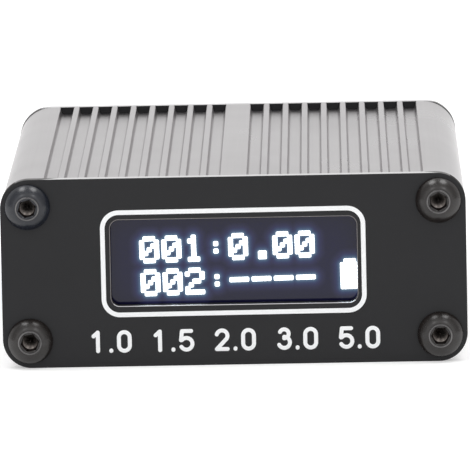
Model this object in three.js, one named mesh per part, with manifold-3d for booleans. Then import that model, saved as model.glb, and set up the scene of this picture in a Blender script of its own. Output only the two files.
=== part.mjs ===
// A small meter for standing wave ratio and power: an extruded aluminium sleeve between two black
// end plates. A dot-matrix display sits behind a window in the front plate, and two coaxial sockets,
// a charging socket and a slide switch are on the rear plate. A board with the bridge that measures
// the wave lies in slots of the sleeve, over a battery.
// Millimetres. X runs to the right, Y from the front to the rear and Z up.
// The origin is the centre of the sleeve's underside.
import * as THREE from 'three';
import { mergeVertices } from 'three/addons/utils/BufferGeometryUtils.js';
import Module from 'manifold-3d';

const manifold = await Module();
manifold.setup();

// Sleeve, the extruded housing
const sleeveWidth = 58;
const sleeveHeight = 23.7;
const sleeveLength = 70;
const sleeveCornerRadius = 3.6;
const roofWall = 2; // top and bottom walls, which carry the grooves
const sideWall = 1.6;
const grooveCount = 9; // on each side of the plain strip
const grooveMargin = 5.54; // from the side faces to the outermost grooves
const grooveWidth = 1.62;
const grooveDepth = 0.95;
const plainStripWidth = 3.2;
const screwInset = 3.42; // from the outer faces to a screw's axis
const portRadius = 1.6; // bore that the screws cut their thread in
const portWall = 1.25;
const portMouth = 1.5; // slot that opens a port to the inside
const slotLipReach = 1.7;
const slotLipThickness = 0.9;

// End plates
const plateThickness = 1.5;
const plateEdgeBreak = 0.12;
const plateHoleClearance = 0.25; // round a screw
const windowWidth = 30.7;
const windowBorder = 6.35; // mean height of the plate over and under the window
const windowCornerRadius = 1.06;
const windowRise = 1.1; // window centre over the plate's centre

// Button-head screws with a hexagon socket
const screwHeadRadius = 2.84;
const screwHeadHeight = 1.65;
const screwHeadRim = 0.3; // straight edge under the dome
const screwCrownRadius = 1.55; // flat top round the socket
const screwHexagonRadius = 1.12; // axis to a corner of the hexagon
const screwHexagonDepth = 0.95;
const screwDrillConeDepth = 0.35;
const screwShankRadius = 1.4;
const screwShankLength = 7;
const screwTipChamfer = 0.4;
const frontScrewTurns = [18, 0, 30, 22]; // degrees: lower left, lower right, upper left, upper right
const rearScrewTurns = [5, 41, 12, 27];

// Display, stuck behind the window and a little askew
const displayTurn = 1.1; // degrees anticlockwise, as seen from the front
const glassWidth = 34.5;
const glassRoom = 2.3; // less than the height inside the sleeve
const glassThickness = 1.4;
const glassEdgeBreak = 0.15;
const tapeThickness = 0.3;
const tapeMargin = 0.6; // the tape stays this far out of the window
const displayBoardMargin = 0.3; // proud of the glass all round
const displayBoardThickness = 1;
const ribbonWidth = 10;
const ribbonThickness = 0.25;
const ribbonBend = 1.3;
const ribbonRise = 6; // run up the display board
const ribbonRun = 5; // run along the main board

// Main board, held in the side slots
const boardThickness = 1.6;
const boardSideClearance = 0.4;
const boardSlotClearance = 0.15;
const boardFrontSetback = 6; // from the front end of the sleeve
const boardRearSetback = 6;
const boardTongueSideClearance = 0.5; // to the sockets' flanges
const boardTongueEndClearance = 0.4; // to the rear plate

// Coaxial sockets
const socketInset = 13.8; // from a side face to a socket's axis
const socketBarrelRadius = 7.94;
const socketBarrelReach = 17; // beyond the rear plate
const socketBoreRadius = 5.9;
const socketRimChamfer = 0.4;
const socketFlangeRadius = 9.2;
const socketFlangeClearance = 1.35; // from its two flats to the sleeve's roof and floor
const socketFlangeThickness = 2.4;
const socketBossRadius = 7;
const socketBossLength = 2.6;
const socketHoleClearance = 0.22;
const socketNotchCount = 4;
const socketNotchWidth = 1.8;
const socketNotchDepth = 1.1;
const insulatorClearance = 0.25;
const insulatorSetback = 9; // of its face from the rim
const insulatorHubRadius = 3.8;
const insulatorHubHeight = 4;
const contactRadius = 2.9;
const contactBoreRadius = 2.05;
const contactBoreDepth = 11;
const contactClearance = 0.15;
const contactPinRadius = 1.2;
const contactPinLength = 5.5;
const contactSlitWidth = 0.4;
const washerRadius = 9.5;
const washerThickness = 0.8;
const washerClearance = 0.3;
const nutAcrossFlats = 18;
const nutThickness = 3;
const nutClearance = 0.2;
const nutChamfer = 0.9;
const nutTurn = 30; // degrees, which lays two corners sideways

// Charging socket, under the board's tongue
const chargerWidth = 8.94;
const chargerHeight = 3.26;
const chargerLength = 7.35;
const chargerWall = 0.3;
const chargerSetback = 0.2; // behind the outer face of the rear plate
const chargerHoleClearance = 0.25;
const chargerTongueWidth = 6.6;
const chargerTongueThickness = 0.7;
const chargerTongueLength = 4.6;
const chargerBaseLength = 1.6;
const chargerBaseClearance = 0.12;

// Power switch, on the board's tongue
const switchWidth = 8.6;
const switchHeight = 3.6;
const switchDepth = 3.9;
const switchPlateGap = 0.2;
const switchTravel = 2;
const knobWidth = 2.4;
const knobHeight = 1.7;
const knobReach = 2; // beyond the rear plate
const knobSeatDepth = 2.2; // inside the switch body
const knobClearance = 0.25;
const knobGrooveCount = 3;
const knobGrooveDepth = 0.2;

// Bridge: the conductor between the sockets and its two transformers
const lineRadius = 0.7;
const lineBend = 2.5;
const lineSetback = 11; // of the cross run from the pins' ends
const linePinGap = 0.3;
const coreOuterRadius = 4.3;
const coreInnerRadius = 2.3;
const coreThickness = 3.2;
const coreSpacing = 10;
const windingThickness = 0.5;
const windingClearance = 0.1;
const windingGapWidth = 2.6; // left bare on top of a core
const windingSeatGap = 0.2;
const diodeRadius = 0.9;
const diodeLength = 3.8;
const diodeLeadRadius = 0.28;
const diodeLeadSpan = 7.6;
const diodeHeight = 1.6; // axis over the board
const diodeOffset = 9;
const trimmerSize = 4.6;
const trimmerHeight = 3.4;
const trimmerDialRadius = 1.7;
const trimmerDialHeight = 0.4;
const trimmerSlotWidth = 0.5;
const trimmerOffset = 18;

// Chips
const controllerLength = 6.5;
const controllerWidth = 4.4;
const controllerHeight = 1.05;
const controllerLeadsPerSide = 8;
const controllerSetback = 11; // from the board's front edge
const chargeChipLength = 4.9;
const chargeChipWidth = 3.9;
const chargeChipHeight = 1.5;
const chargeChipLeadsPerSide = 4;
const chargeChipOffset = 12;
const leadWidth = 0.32;
const leadReach = 0.9;
const leadThickness = 0.2;
const chipStandoff = 0.1;
const chipEdgeBreak = 0.12;

// Battery on the sleeve's floor, its leads and its plug on the board
const batteryWidth = 30;
const batteryLength = 38;
const batteryHeadroom = 1.5; // under the board
const batteryEdgeRadius = 1.2;
const batteryCornerRadius = 2;
const batterySetback = 7.5; // from the front end of the sleeve
const plugWidth = 6;
const plugLength = 5.6;
const plugHeight = 4;
const plugEdgeBreak = 0.4;
const plugOffset = 12;
const plugSetback = 2; // from the board's front edge
const leadWireRadius = 0.5;
const leadWireSpacing = 2.2;
const leadWireBend = 1.1;
const leadWireLoop = 1.5; // in front of the board's edge
const leadWireEndGap = 0.3;

// Shared by all cuts
const overrun = 1; // a cutter passes the face it cuts by this

// Facets
const cornerSegments = 4;
const smallCornerSegments = 2;
const circleSegments = 20;
const barrelSegments = 32;
const holeSegments = 16;
const wireSides = 6;
const lineSteps = 28;
const leadWireSteps = 18;
const domeSteps = 3;

// Worked out from the sizes above
const quarterTurn = Math.PI / 2;
const frontEnd = -sleeveLength / 2;
const rearEnd = sleeveLength / 2;
const frontFace = frontEnd - plateThickness;
const rearFace = rearEnd + plateThickness;
const groovePitch = (sleeveWidth / 2 - grooveMargin - grooveWidth - plainStripWidth / 2) / (grooveCount - 1);
const windowHeight = sleeveHeight - 2 * windowBorder;
const windowAxisHeight = sleeveHeight / 2 + windowRise;
const glassHeight = sleeveHeight - 2 * roofWall - glassRoom;
const socketAxisHeight = sleeveHeight / 2;
const socketSpacing = sleeveWidth - 2 * socketInset;
const boardTop = socketAxisHeight - contactPinRadius - contactClearance;
const boardBottom = boardTop - boardThickness;
const boardFrontEdge = frontEnd + boardFrontSetback;
const boardRearEdge = rearEnd - boardRearSetback;
const insideHalfWidth = sleeveWidth / 2 - sideWall;
const switchAxisHeight = boardTop + switchHeight / 2;
const chargerAxisHeight = boardBottom - chargerHeight / 2;
const batteryHeight = boardBottom - roofWall - batteryHeadroom;
const socketInnerEnd = rearEnd - socketFlangeThickness - socketBossLength;

const part = new THREE.Group();

// Solids

function solid(geometry) {
  geometry.deleteAttribute('normal');
  geometry.deleteAttribute('uv');
  const merged = mergeVertices(geometry);
  const index = merged.index.array;
  const triangles = [];
  for (let i = 0; i < index.length; i += 3) {
    const [a, b, c] = index.slice(i, i + 3);
    if (a !== b && b !== c && c !== a) {
      triangles.push(a, b, c); // triangles that shrink to a line at a pole are left out
    }
  }
  const mesh = new manifold.Mesh({
    numProp: 3,
    vertProperties: new Float32Array(merged.attributes.position.array),
    triVerts: new Uint32Array(triangles),
  });
  return new manifold.Manifold(mesh);
}

function cut(body, ...tools) {
  return tools.reduce((rest, tool) => rest.subtract(tool), body);
}

function join(...bodies) {
  return bodies.reduce((whole, body) => whole.add(body));
}

function addPart(name, body, material, parent = part) {
  const { vertProperties, triVerts } = body.getMesh();
  const geometry = new THREE.BufferGeometry();
  geometry.setAttribute('position', new THREE.BufferAttribute(vertProperties, 3));
  geometry.setIndex(new THREE.BufferAttribute(triVerts, 1));
  geometry.computeVertexNormals();
  const mesh = new THREE.Mesh(geometry, material);
  mesh.name = name;
  parent.add(mesh);
  return mesh;
}

function block(width, depth, height, x, y, z) {
  return solid(new THREE.BoxGeometry(width, depth, height).translate(x, y, z));
}

// A cylinder along Y, from startY to endY
function rod(radius, startY, endY, x, z, segments = circleSegments) {
  const length = endY - startY;
  const geometry = new THREE.CylinderGeometry(radius, radius, length, segments);
  return solid(geometry.translate(x, (startY + endY) / 2, z));
}

// A profile of [radius, y] pairs turned round the line along Y through x and z
function turned(profile, x = 0, z = 0, segments = circleSegments) {
  const points = profile.map(([radius, y]) => new THREE.Vector2(radius, y));
  return solid(new THREE.LatheGeometry(points, segments).translate(x, 0, z));
}

// An outline in X and Z, from startY to endY, with its outer edges broken by edgeBreak
function extrudedAlongY(shape, startY, endY, edgeBreak = 0, curveSegments = cornerSegments) {
  const geometry = new THREE.ExtrudeGeometry(shape, {
    depth: endY - startY - 2 * edgeBreak,
    bevelEnabled: edgeBreak > 0,
    bevelThickness: edgeBreak,
    bevelSize: edgeBreak,
    bevelOffset: -edgeBreak,
    bevelSegments: 1,
    curveSegments,
  });
  geometry.rotateX(quarterTurn).translate(0, endY - edgeBreak, 0);
  return solid(geometry);
}

// An outline in X and Y, from bottom to top, with its outer edges broken by edgeBreak
function extrudedAlongZ(shape, bottom, top, edgeBreak = 0) {
  const geometry = new THREE.ExtrudeGeometry(shape, {
    depth: top - bottom - 2 * edgeBreak,
    bevelEnabled: edgeBreak > 0,
    bevelThickness: edgeBreak,
    bevelSize: edgeBreak,
    bevelOffset: -edgeBreak,
    bevelSegments: 1,
    curveSegments: smallCornerSegments,
  });
  return solid(geometry.translate(0, 0, bottom + edgeBreak));
}

// An outline in Y and Z, as wide as width, centred on x
function extrudedAlongX(shape, width, x) {
  const geometry = new THREE.ExtrudeGeometry(shape, {
    depth: width,
    bevelEnabled: false,
    curveSegments: cornerSegments,
  });
  geometry.rotateX(quarterTurn).rotateZ(quarterTurn).translate(x - width / 2, 0, 0);
  return solid(geometry);
}

function rectangle(width, height, centreX = 0, centreY = 0) {
  const shape = new THREE.Shape();
  shape.moveTo(centreX - width / 2, centreY - height / 2);
  shape.lineTo(centreX + width / 2, centreY - height / 2);
  shape.lineTo(centreX + width / 2, centreY + height / 2);
  shape.lineTo(centreX - width / 2, centreY + height / 2);
  shape.closePath();
  return shape;
}

function roundedRectangle(width, height, radius, centreX = 0, centreY = 0) {
  const shape = new THREE.Shape();
  const x = width / 2 - radius;
  const y = height / 2 - radius;
  shape.absarc(centreX + x, centreY + y, radius, 0, quarterTurn);
  shape.absarc(centreX - x, centreY + y, radius, quarterTurn, 2 * quarterTurn);
  shape.absarc(centreX - x, centreY - y, radius, 2 * quarterTurn, 3 * quarterTurn);
  shape.absarc(centreX + x, centreY - y, radius, 3 * quarterTurn, 4 * quarterTurn);
  shape.closePath();
  return shape;
}

// A wire through the corners, which are rounded by bend
function wire(corners, radius, bend, steps) {
  const route = new THREE.CurvePath();
  let start = corners[0];
  for (let i = 1; i < corners.length - 1; i += 1) {
    const before = corners[i - 1].clone().sub(corners[i]).setLength(bend).add(corners[i]);
    const after = corners[i + 1].clone().sub(corners[i]).setLength(bend).add(corners[i]);
    route.add(new THREE.LineCurve3(start, before));
    route.add(new THREE.QuadraticBezierCurve3(before, corners[i], after));
    start = after;
  }
  route.add(new THREE.LineCurve3(start, corners.at(-1)));
  const section = new THREE.Shape();
  section.absarc(0, 0, radius, 0, 4 * quarterTurn);
  return solid(new THREE.ExtrudeGeometry(section, {
    extrudePath: route,
    steps,
    curveSegments: wireSides / 2,
  }));
}

// Finishes

function finish(color, roughness, metalness) {
  return new THREE.MeshStandardMaterial({ color, roughness, metalness });
}

const greyAnodised = finish('#c4c2c3', 0.45, 0.9);
const blackAnodised = finish('#363638', 0.6, 0.5);
const blackSteel = finish('#2b2a2c', 0.4, 0.9);
const darkGlass = finish('#1c1d2b', 0.1, 0);
const blackTape = finish('#141414', 0.9, 0);
const greenBoard = finish('#1f5a37', 0.55, 0);
const nickel = finish('#b9b6ae', 0.3, 1);
const silver = finish('#d8d5cd', 0.25, 1);
const whiteInsulator = finish('#e9e7df', 0.5, 0);
const copper = finish('#b87345', 0.35, 1);
const ferrite = finish('#3a3b3d', 0.8, 0);
const blackPlastic = finish('#1b1b1d', 0.5, 0);
const whitePlastic = finish('#e6e3da', 0.5, 0);
const bluePlastic = finish('#2a5fa8', 0.45, 0);
const ribbonFilm = finish('#b5722f', 0.5, 0);
const pouchFoil = finish('#b9bcc2', 0.35, 0.7);
const redLead = finish('#a8231d', 0.5, 0);
const blackLead = finish('#1a1a1a', 0.5, 0);
const diodeGlass = finish('#b0623a', 0.2, 0);

// Sleeve

// The x of each groove's centre, from left to right
function grooveCentres() {
  const first = (plainStripWidth + grooveWidth) / 2;
  const right = Array.from({ length: grooveCount }, (_, i) => first + i * groovePitch);
  return [...right.map((x) => -x).reverse(), ...right];
}

// Outer section: a rounded rectangle with grooves in its top and underside
function sleeveOutline() {
  const shape = new THREE.Shape();
  const r = sleeveCornerRadius;
  const x = sleeveWidth / 2 - r;
  const centres = grooveCentres();
  const half = grooveWidth / 2;
  shape.absarc(x, r, r, -quarterTurn, 0);
  shape.absarc(x, sleeveHeight - r, r, 0, quarterTurn);
  for (const centre of [...centres].reverse()) {
    shape.lineTo(centre + half, sleeveHeight);
    shape.lineTo(centre + half, sleeveHeight - grooveDepth);
    shape.lineTo(centre - half, sleeveHeight - grooveDepth);
    shape.lineTo(centre - half, sleeveHeight);
  }
  shape.absarc(-x, sleeveHeight - r, r, quarterTurn, 2 * quarterTurn);
  shape.absarc(-x, r, r, 2 * quarterTurn, 3 * quarterTurn);
  for (const centre of centres) {
    shape.lineTo(centre - half, 0);
    shape.lineTo(centre - half, grooveDepth);
    shape.lineTo(centre + half, grooveDepth);
    shape.lineTo(centre + half, 0);
  }
  shape.closePath();
  return shape;
}

// The four screw axes: lower left, lower right, upper left, upper right
function screwAxes() {
  const x = sleeveWidth / 2 - screwInset;
  const levels = [screwInset, sleeveHeight - screwInset];
  return levels.flatMap((z) => [[-x, z], [x, z]]);
}

// The space inside the sleeve, less the walls of the screw ports and the lips that hold the board
function sleeveSpace() {
  const start = frontEnd - overrun;
  const end = rearEnd + overrun;
  const height = sleeveHeight - 2 * roofWall;
  const radius = sleeveCornerRadius - sideWall;
  const outline = roundedRectangle(2 * insideHalfWidth, height, radius, 0, sleeveHeight / 2);
  let space = extrudedAlongY(outline, start, end);
  const length = sleeveLength + 4 * overrun;
  const ringRadius = portRadius + portWall;
  for (const [x, z] of screwAxes()) {
    space = cut(space, rod(ringRadius, -length / 2, length / 2, x, z));
  }
  const lipLevels = [
    boardBottom - boardSlotClearance - slotLipThickness / 2,
    boardTop + boardSlotClearance + slotLipThickness / 2,
  ];
  for (const side of [-1, 1]) {
    for (const z of lipLevels) {
      const x = side * (insideHalfWidth + (overrun - slotLipReach) / 2);
      space = cut(space, block(slotLipReach + overrun, length, slotLipThickness, x, 0, z));
    }
  }
  return space;
}

// A screw port: its bore, and the slot that opens it to the inside
function screwPort(x, z) {
  const start = frontEnd - overrun;
  const end = rearEnd + overrun;
  const inward = -Math.sign(x);
  const reach = portRadius + portWall + overrun;
  const slot = block(reach, end - start, portMouth, x + inward * reach / 2, 0, z);
  return join(rod(portRadius, start, end, x, z, holeSegments), slot);
}

function buildSleeve() {
  const profile = extrudedAlongY(sleeveOutline(), frontEnd, rearEnd);
  const ports = screwAxes().map(([x, z]) => screwPort(x, z));
  addPart('housing_sleeve', cut(profile, sleeveSpace(), ...ports), greyAnodised);
}

// End plates

function blankPlate(startY, endY) {
  const outline = roundedRectangle(sleeveWidth, sleeveHeight, sleeveCornerRadius, 0, sleeveHeight / 2);
  const plate = extrudedAlongY(outline, startY, endY, plateEdgeBreak);
  const radius = screwShankRadius + plateHoleClearance;
  const start = startY - overrun;
  const end = endY + overrun;
  const holes = screwAxes().map(([x, z]) => rod(radius, start, end, x, z, holeSegments));
  return cut(plate, ...holes);
}

function buildFrontPanel() {
  const outline = roundedRectangle(windowWidth, windowHeight, windowCornerRadius, 0, windowAxisHeight);
  const opening = extrudedAlongY(outline, frontFace - overrun, frontEnd + overrun);
  addPart('front_panel', cut(blankPlate(frontFace, frontEnd), opening), blackAnodised);
}

function buildRearPanel() {
  const start = rearEnd - overrun;
  const end = rearFace + overrun;
  const socketRadius = socketBarrelRadius + socketHoleClearance;
  const socketHoles = [-1, 1].map((side) => {
    const x = side * socketSpacing / 2;
    return rod(socketRadius, start, end, x, socketAxisHeight, barrelSegments);
  });
  const chargerHole = roundedRectangle(
    chargerWidth + 2 * chargerHoleClearance,
    chargerHeight + 2 * chargerHoleClearance,
    chargerHeight / 2,
    0,
    chargerAxisHeight,
  );
  const slotWidth = knobWidth + switchTravel + 2 * knobClearance;
  const slotHeight = knobHeight + 2 * knobClearance;
  const knobSlot = block(slotWidth, end - start, slotHeight, 0, (start + end) / 2, switchAxisHeight);
  const plate = blankPlate(rearEnd, rearFace);
  const cutters = [...socketHoles, extrudedAlongY(chargerHole, start, end), knobSlot];
  addPart('rear_panel', cut(plate, ...cutters), blackAnodised);
}

// Screws

// A screw whose head stands on y = 0 and points along +Y
function screwBody() {
  // The dome is part of a ball whose centre lies on the axis, below the rim
  const drop = screwHeadHeight - screwHeadRim;
  const spread = screwHeadRadius ** 2 - screwCrownRadius ** 2;
  const centreY = (screwHeadHeight + screwHeadRim) / 2 - spread / (2 * drop);
  const ballRadius = Math.hypot(screwHeadRadius, screwHeadRim - centreY);
  const rimAngle = Math.atan2(screwHeadRim - centreY, screwHeadRadius);
  const crownAngle = Math.atan2(screwHeadHeight - centreY, screwCrownRadius);
  const profile = [
    [0, -screwShankLength],
    [screwShankRadius - screwTipChamfer, -screwShankLength],
    [screwShankRadius, screwTipChamfer - screwShankLength],
    [screwShankRadius, 0],
    [screwHeadRadius, 0],
  ];
  for (let i = 0; i <= domeSteps; i += 1) {
    const angle = THREE.MathUtils.lerp(rimAngle, crownAngle, i / domeSteps);
    profile.push([ballRadius * Math.cos(angle), centreY + ballRadius * Math.sin(angle)]);
  }
  profile.push([0, screwHeadHeight]);
  const floor = screwHeadHeight - screwHexagonDepth;
  const hexagon = rod(screwHexagonRadius, floor, screwHeadHeight + overrun, 0, 0, 6);
  const coneRadius = screwHexagonRadius * Math.cos(Math.PI / 6);
  const drillCone = turned([
    [0, floor - screwDrillConeDepth],
    [coneRadius, floor],
    [coneRadius, floor + screwDrillConeDepth],
    [0, floor + screwDrillConeDepth],
  ]);
  return cut(turned(profile), hexagon, drillCone);
}

function buildScrews() {
  const corners = ['lower_left', 'lower_right', 'upper_left', 'upper_right'];
  const body = screwBody();
  screwAxes().forEach(([x, z], i) => {
    const front = addPart(`front_screw_${corners[i]}`, body, blackSteel);
    front.position.set(x, frontFace, z);
    front.rotation.set(0, THREE.MathUtils.degToRad(frontScrewTurns[i]), 2 * quarterTurn, 'ZYX');
    const rear = addPart(`rear_screw_${corners[i]}`, body, blackSteel);
    rear.position.set(x, rearFace, z);
    rear.rotation.y = THREE.MathUtils.degToRad(rearScrewTurns[i]);
  });
}

// Display

function buildDisplay() {
  const display = new THREE.Group();
  display.position.z = sleeveHeight / 2;
  display.rotation.y = -THREE.MathUtils.degToRad(displayTurn);
  part.add(display);
  const tapeBack = frontEnd + tapeThickness;
  const glassBack = tapeBack + glassThickness;
  const boardBack = glassBack + displayBoardThickness;
  const middle = (frontEnd + tapeBack) / 2;
  const opening = block(
    windowWidth + 2 * tapeMargin,
    tapeThickness + 2 * overrun,
    windowHeight + 2 * tapeMargin,
    0,
    middle,
    windowRise,
  );
  const tape = block(glassWidth, tapeThickness, glassHeight, 0, middle, 0);
  addPart('display_tape', cut(tape, opening), blackTape, display);
  const glassOutline = rectangle(glassWidth, glassHeight);
  const glass = extrudedAlongY(glassOutline, tapeBack, glassBack, glassEdgeBreak);
  addPart('display_glass', glass, darkGlass, display);
  const middleOfBoard = (glassBack + boardBack) / 2;
  const boardWidth = glassWidth + 2 * displayBoardMargin;
  const boardHeight = glassHeight + 2 * displayBoardMargin;
  const board = block(boardWidth, displayBoardThickness, boardHeight, 0, middleOfBoard, 0);
  addPart('display_board', board, greenBoard, display);
  addPart('display_ribbon', ribbonBody(boardBack), ribbonFilm);
}

// Flat cable: down the back of the display board, round a bend and along the main board
function ribbonBody(startY) {
  const bendY = startY + ribbonThickness + ribbonBend;
  const bendZ = boardTop + ribbonThickness + ribbonBend;
  const shape = new THREE.Shape();
  shape.moveTo(startY, bendZ + ribbonRise);
  shape.absarc(bendY, bendZ, ribbonBend + ribbonThickness, 2 * quarterTurn, 3 * quarterTurn);
  shape.lineTo(bendY + ribbonRun, boardTop);
  shape.lineTo(bendY + ribbonRun, boardTop + ribbonThickness);
  shape.absarc(bendY, bendZ, ribbonBend, 3 * quarterTurn, 2 * quarterTurn, true);
  shape.lineTo(startY + ribbonThickness, bendZ + ribbonRise);
  shape.closePath();
  return extrudedAlongX(shape, ribbonWidth, 0);
}

// Main board

function buildMainBoard() {
  const halfWidth = insideHalfWidth - boardSideClearance;
  const halfTongue = socketSpacing / 2 - socketFlangeRadius - boardTongueSideClearance;
  const tongueEnd = rearEnd - boardTongueEndClearance;
  const shape = new THREE.Shape();
  shape.moveTo(-halfWidth, boardFrontEdge);
  shape.lineTo(halfWidth, boardFrontEdge);
  shape.lineTo(halfWidth, boardRearEdge);
  shape.lineTo(halfTongue, boardRearEdge);
  shape.lineTo(halfTongue, tongueEnd);
  shape.lineTo(-halfTongue, tongueEnd);
  shape.lineTo(-halfTongue, boardRearEdge);
  shape.lineTo(-halfWidth, boardRearEdge);
  shape.closePath();
  addPart('main_board', extrudedAlongZ(shape, boardBottom, boardTop), greenBoard);
}

// Coaxial sockets

// Threaded barrel with a notched rim, and a flange that bears on the inside of the rear plate. Flats
// over and under keep the flange from turning in the sleeve.
function socketShell(x) {
  const tip = rearFace + socketBarrelReach;
  const flangeStart = rearEnd - socketFlangeThickness;
  const profile = [
    [socketBoreRadius, socketInnerEnd],
    [socketBossRadius, socketInnerEnd],
    [socketBossRadius, flangeStart],
    [socketFlangeRadius, flangeStart],
    [socketFlangeRadius, rearEnd],
    [socketBarrelRadius, rearEnd],
    [socketBarrelRadius, tip - socketRimChamfer],
    [socketBarrelRadius - socketRimChamfer, tip],
    [socketBoreRadius, tip],
    [socketBoreRadius, socketInnerEnd],
  ];
  const shell = turned(profile, x, socketAxisHeight, barrelSegments);
  const width = 2 * (socketBarrelRadius + overrun);
  const notches = [];
  for (let i = 0; i < socketNotchCount / 2; i += 1) {
    const depth = socketNotchDepth + overrun;
    const notch = new THREE.BoxGeometry(width, depth, socketNotchWidth);
    notch.rotateY(i * 2 * Math.PI / socketNotchCount);
    notches.push(solid(notch.translate(x, tip - socketNotchDepth + depth / 2, socketAxisHeight)));
  }
  const flatLevel = sleeveHeight / 2 - roofWall - socketFlangeClearance;
  const flatDepth = socketFlangeThickness + overrun;
  const flatY = rearEnd - flatDepth / 2;
  const flats = [-1, 1].map((side) => {
    const z = socketAxisHeight + side * (flatLevel + socketFlangeRadius / 2);
    return block(2 * socketFlangeRadius, flatDepth, socketFlangeRadius, x, flatY, z);
  });
  return cut(shell, ...notches, ...flats);
}

function socketInsulator(x) {
  const face = rearFace + socketBarrelReach - insulatorSetback;
  const radius = socketBoreRadius - insulatorClearance;
  const bore = contactRadius + contactClearance;
  const hubEnd = face + insulatorHubHeight;
  const profile = [
    [bore, socketInnerEnd],
    [radius, socketInnerEnd],
    [radius, face],
    [insulatorHubRadius, face],
    [insulatorHubRadius, hubEnd],
    [bore, hubEnd],
    [bore, socketInnerEnd],
  ];
  return turned(profile, x, socketAxisHeight);
}

// Centre contact: a slit tube that takes the plug's pin, and a solder pin over the board
function socketContact(x) {
  const mouth = rearFace + socketBarrelReach - insulatorSetback + insulatorHubHeight;
  const boreEnd = mouth - contactBoreDepth;
  const profile = [
    [0, socketInnerEnd - contactPinLength],
    [contactPinRadius, socketInnerEnd - contactPinLength],
    [contactPinRadius, socketInnerEnd],
    [contactRadius, socketInnerEnd],
    [contactRadius, mouth],
    [contactBoreRadius, mouth],
    [contactBoreRadius, boreEnd],
    [0, boreEnd],
  ];
  const slitDepth = contactBoreDepth / 2;
  const slit = [2 * (contactRadius + overrun), slitDepth + overrun];
  const slitY = mouth - slitDepth + slit[1] / 2;
  const body = turned(profile, x, socketAxisHeight);
  const across = block(slit[0], slit[1], contactSlitWidth, x, slitY, socketAxisHeight);
  const upright = block(contactSlitWidth, slit[1], slit[0], x, slitY, socketAxisHeight);
  return cut(body, across, upright);
}

function socketWasher(x) {
  const inner = socketBarrelRadius + washerClearance;
  const end = rearFace + washerThickness;
  const profile = [
    [inner, rearFace],
    [washerRadius, rearFace],
    [washerRadius, end],
    [inner, end],
    [inner, rearFace],
  ];
  return turned(profile, x, socketAxisHeight, barrelSegments);
}

// Hexagon nut with two corners sideways, its outer corners turned to a chamfer
function socketNut(x) {
  const start = rearFace + washerThickness;
  const end = start + nutThickness;
  const cornerRadius = nutAcrossFlats / 2 / Math.cos(Math.PI / 6);
  const upright = rod(cornerRadius, start, end, 0, 0, 6);
  const hexagon = upright.rotate([0, nutTurn, 0]).translate([x, 0, socketAxisHeight]);
  const chamfered = turned([
    [0, start - overrun],
    [cornerRadius + overrun, start - overrun],
    [cornerRadius + overrun, end - nutChamfer],
    [nutAcrossFlats / 2 - nutChamfer / 2, end],
    [0, end],
  ], x, socketAxisHeight, barrelSegments);
  const radius = socketBarrelRadius + nutClearance;
  const bore = rod(radius, start - overrun, end + overrun, x, socketAxisHeight, barrelSegments);
  return hexagon.intersect(chamfered).subtract(bore);
}

function buildSockets() {
  for (const [side, sign] of [['left', -1], ['right', 1]]) {
    const x = sign * socketSpacing / 2;
    addPart(`${side}_socket_shell`, socketShell(x), nickel);
    addPart(`${side}_socket_insulator`, socketInsulator(x), whiteInsulator);
    addPart(`${side}_socket_contact`, socketContact(x), silver);
    addPart(`${side}_socket_washer`, socketWasher(x), nickel);
    addPart(`${side}_socket_nut`, socketNut(x), nickel);
  }
}

// Charging socket

function buildChargingSocket() {
  const mouth = rearFace - chargerSetback;
  const back = mouth - chargerLength;
  const z = chargerAxisHeight;
  const outline = roundedRectangle(chargerWidth, chargerHeight, chargerHeight / 2 - chargerWall, 0, z);
  const insideWidth = chargerWidth - 2 * chargerWall;
  const insideHeight = chargerHeight - 2 * chargerWall;
  const insideRadius = chargerHeight / 2 - 2 * chargerWall;
  const inside = roundedRectangle(insideWidth, insideHeight, insideRadius, 0, z);
  const shell = extrudedAlongY(outline, back, mouth);
  const bore = extrudedAlongY(inside, back - overrun, mouth + overrun);
  addPart('charging_socket_shell', cut(shell, bore), nickel);
  const baseOutline = roundedRectangle(
    insideWidth - 2 * chargerBaseClearance,
    insideHeight - 2 * chargerBaseClearance,
    insideRadius - chargerBaseClearance,
    0,
    z,
  );
  const base = extrudedAlongY(baseOutline, back, back + chargerBaseLength);
  const tongueLength = chargerBaseLength + chargerTongueLength;
  const tongueY = back + tongueLength / 2;
  const tongue = block(chargerTongueWidth, tongueLength, chargerTongueThickness, 0, tongueY, z);
  addPart('charging_socket_tongue', join(base, tongue), blackPlastic);
}

// Power switch

function buildSwitch() {
  const bodyEnd = rearEnd - switchPlateGap;
  const z = switchAxisHeight;
  const body = block(switchWidth, switchDepth, switchHeight, 0, bodyEnd - switchDepth / 2, z);
  const seatWidth = knobWidth + switchTravel + 2 * knobClearance;
  const seatHeight = knobHeight + 2 * knobClearance;
  const seatDepth = knobSeatDepth + knobClearance;
  const cutDepth = seatDepth + overrun;
  const seatY = bodyEnd - seatDepth + cutDepth / 2;
  addPart('switch_body', cut(body, block(seatWidth, cutDepth, seatHeight, 0, seatY, z)), nickel);
  addPart('switch_knob', knobBody(bodyEnd), blackPlastic);
}

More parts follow.
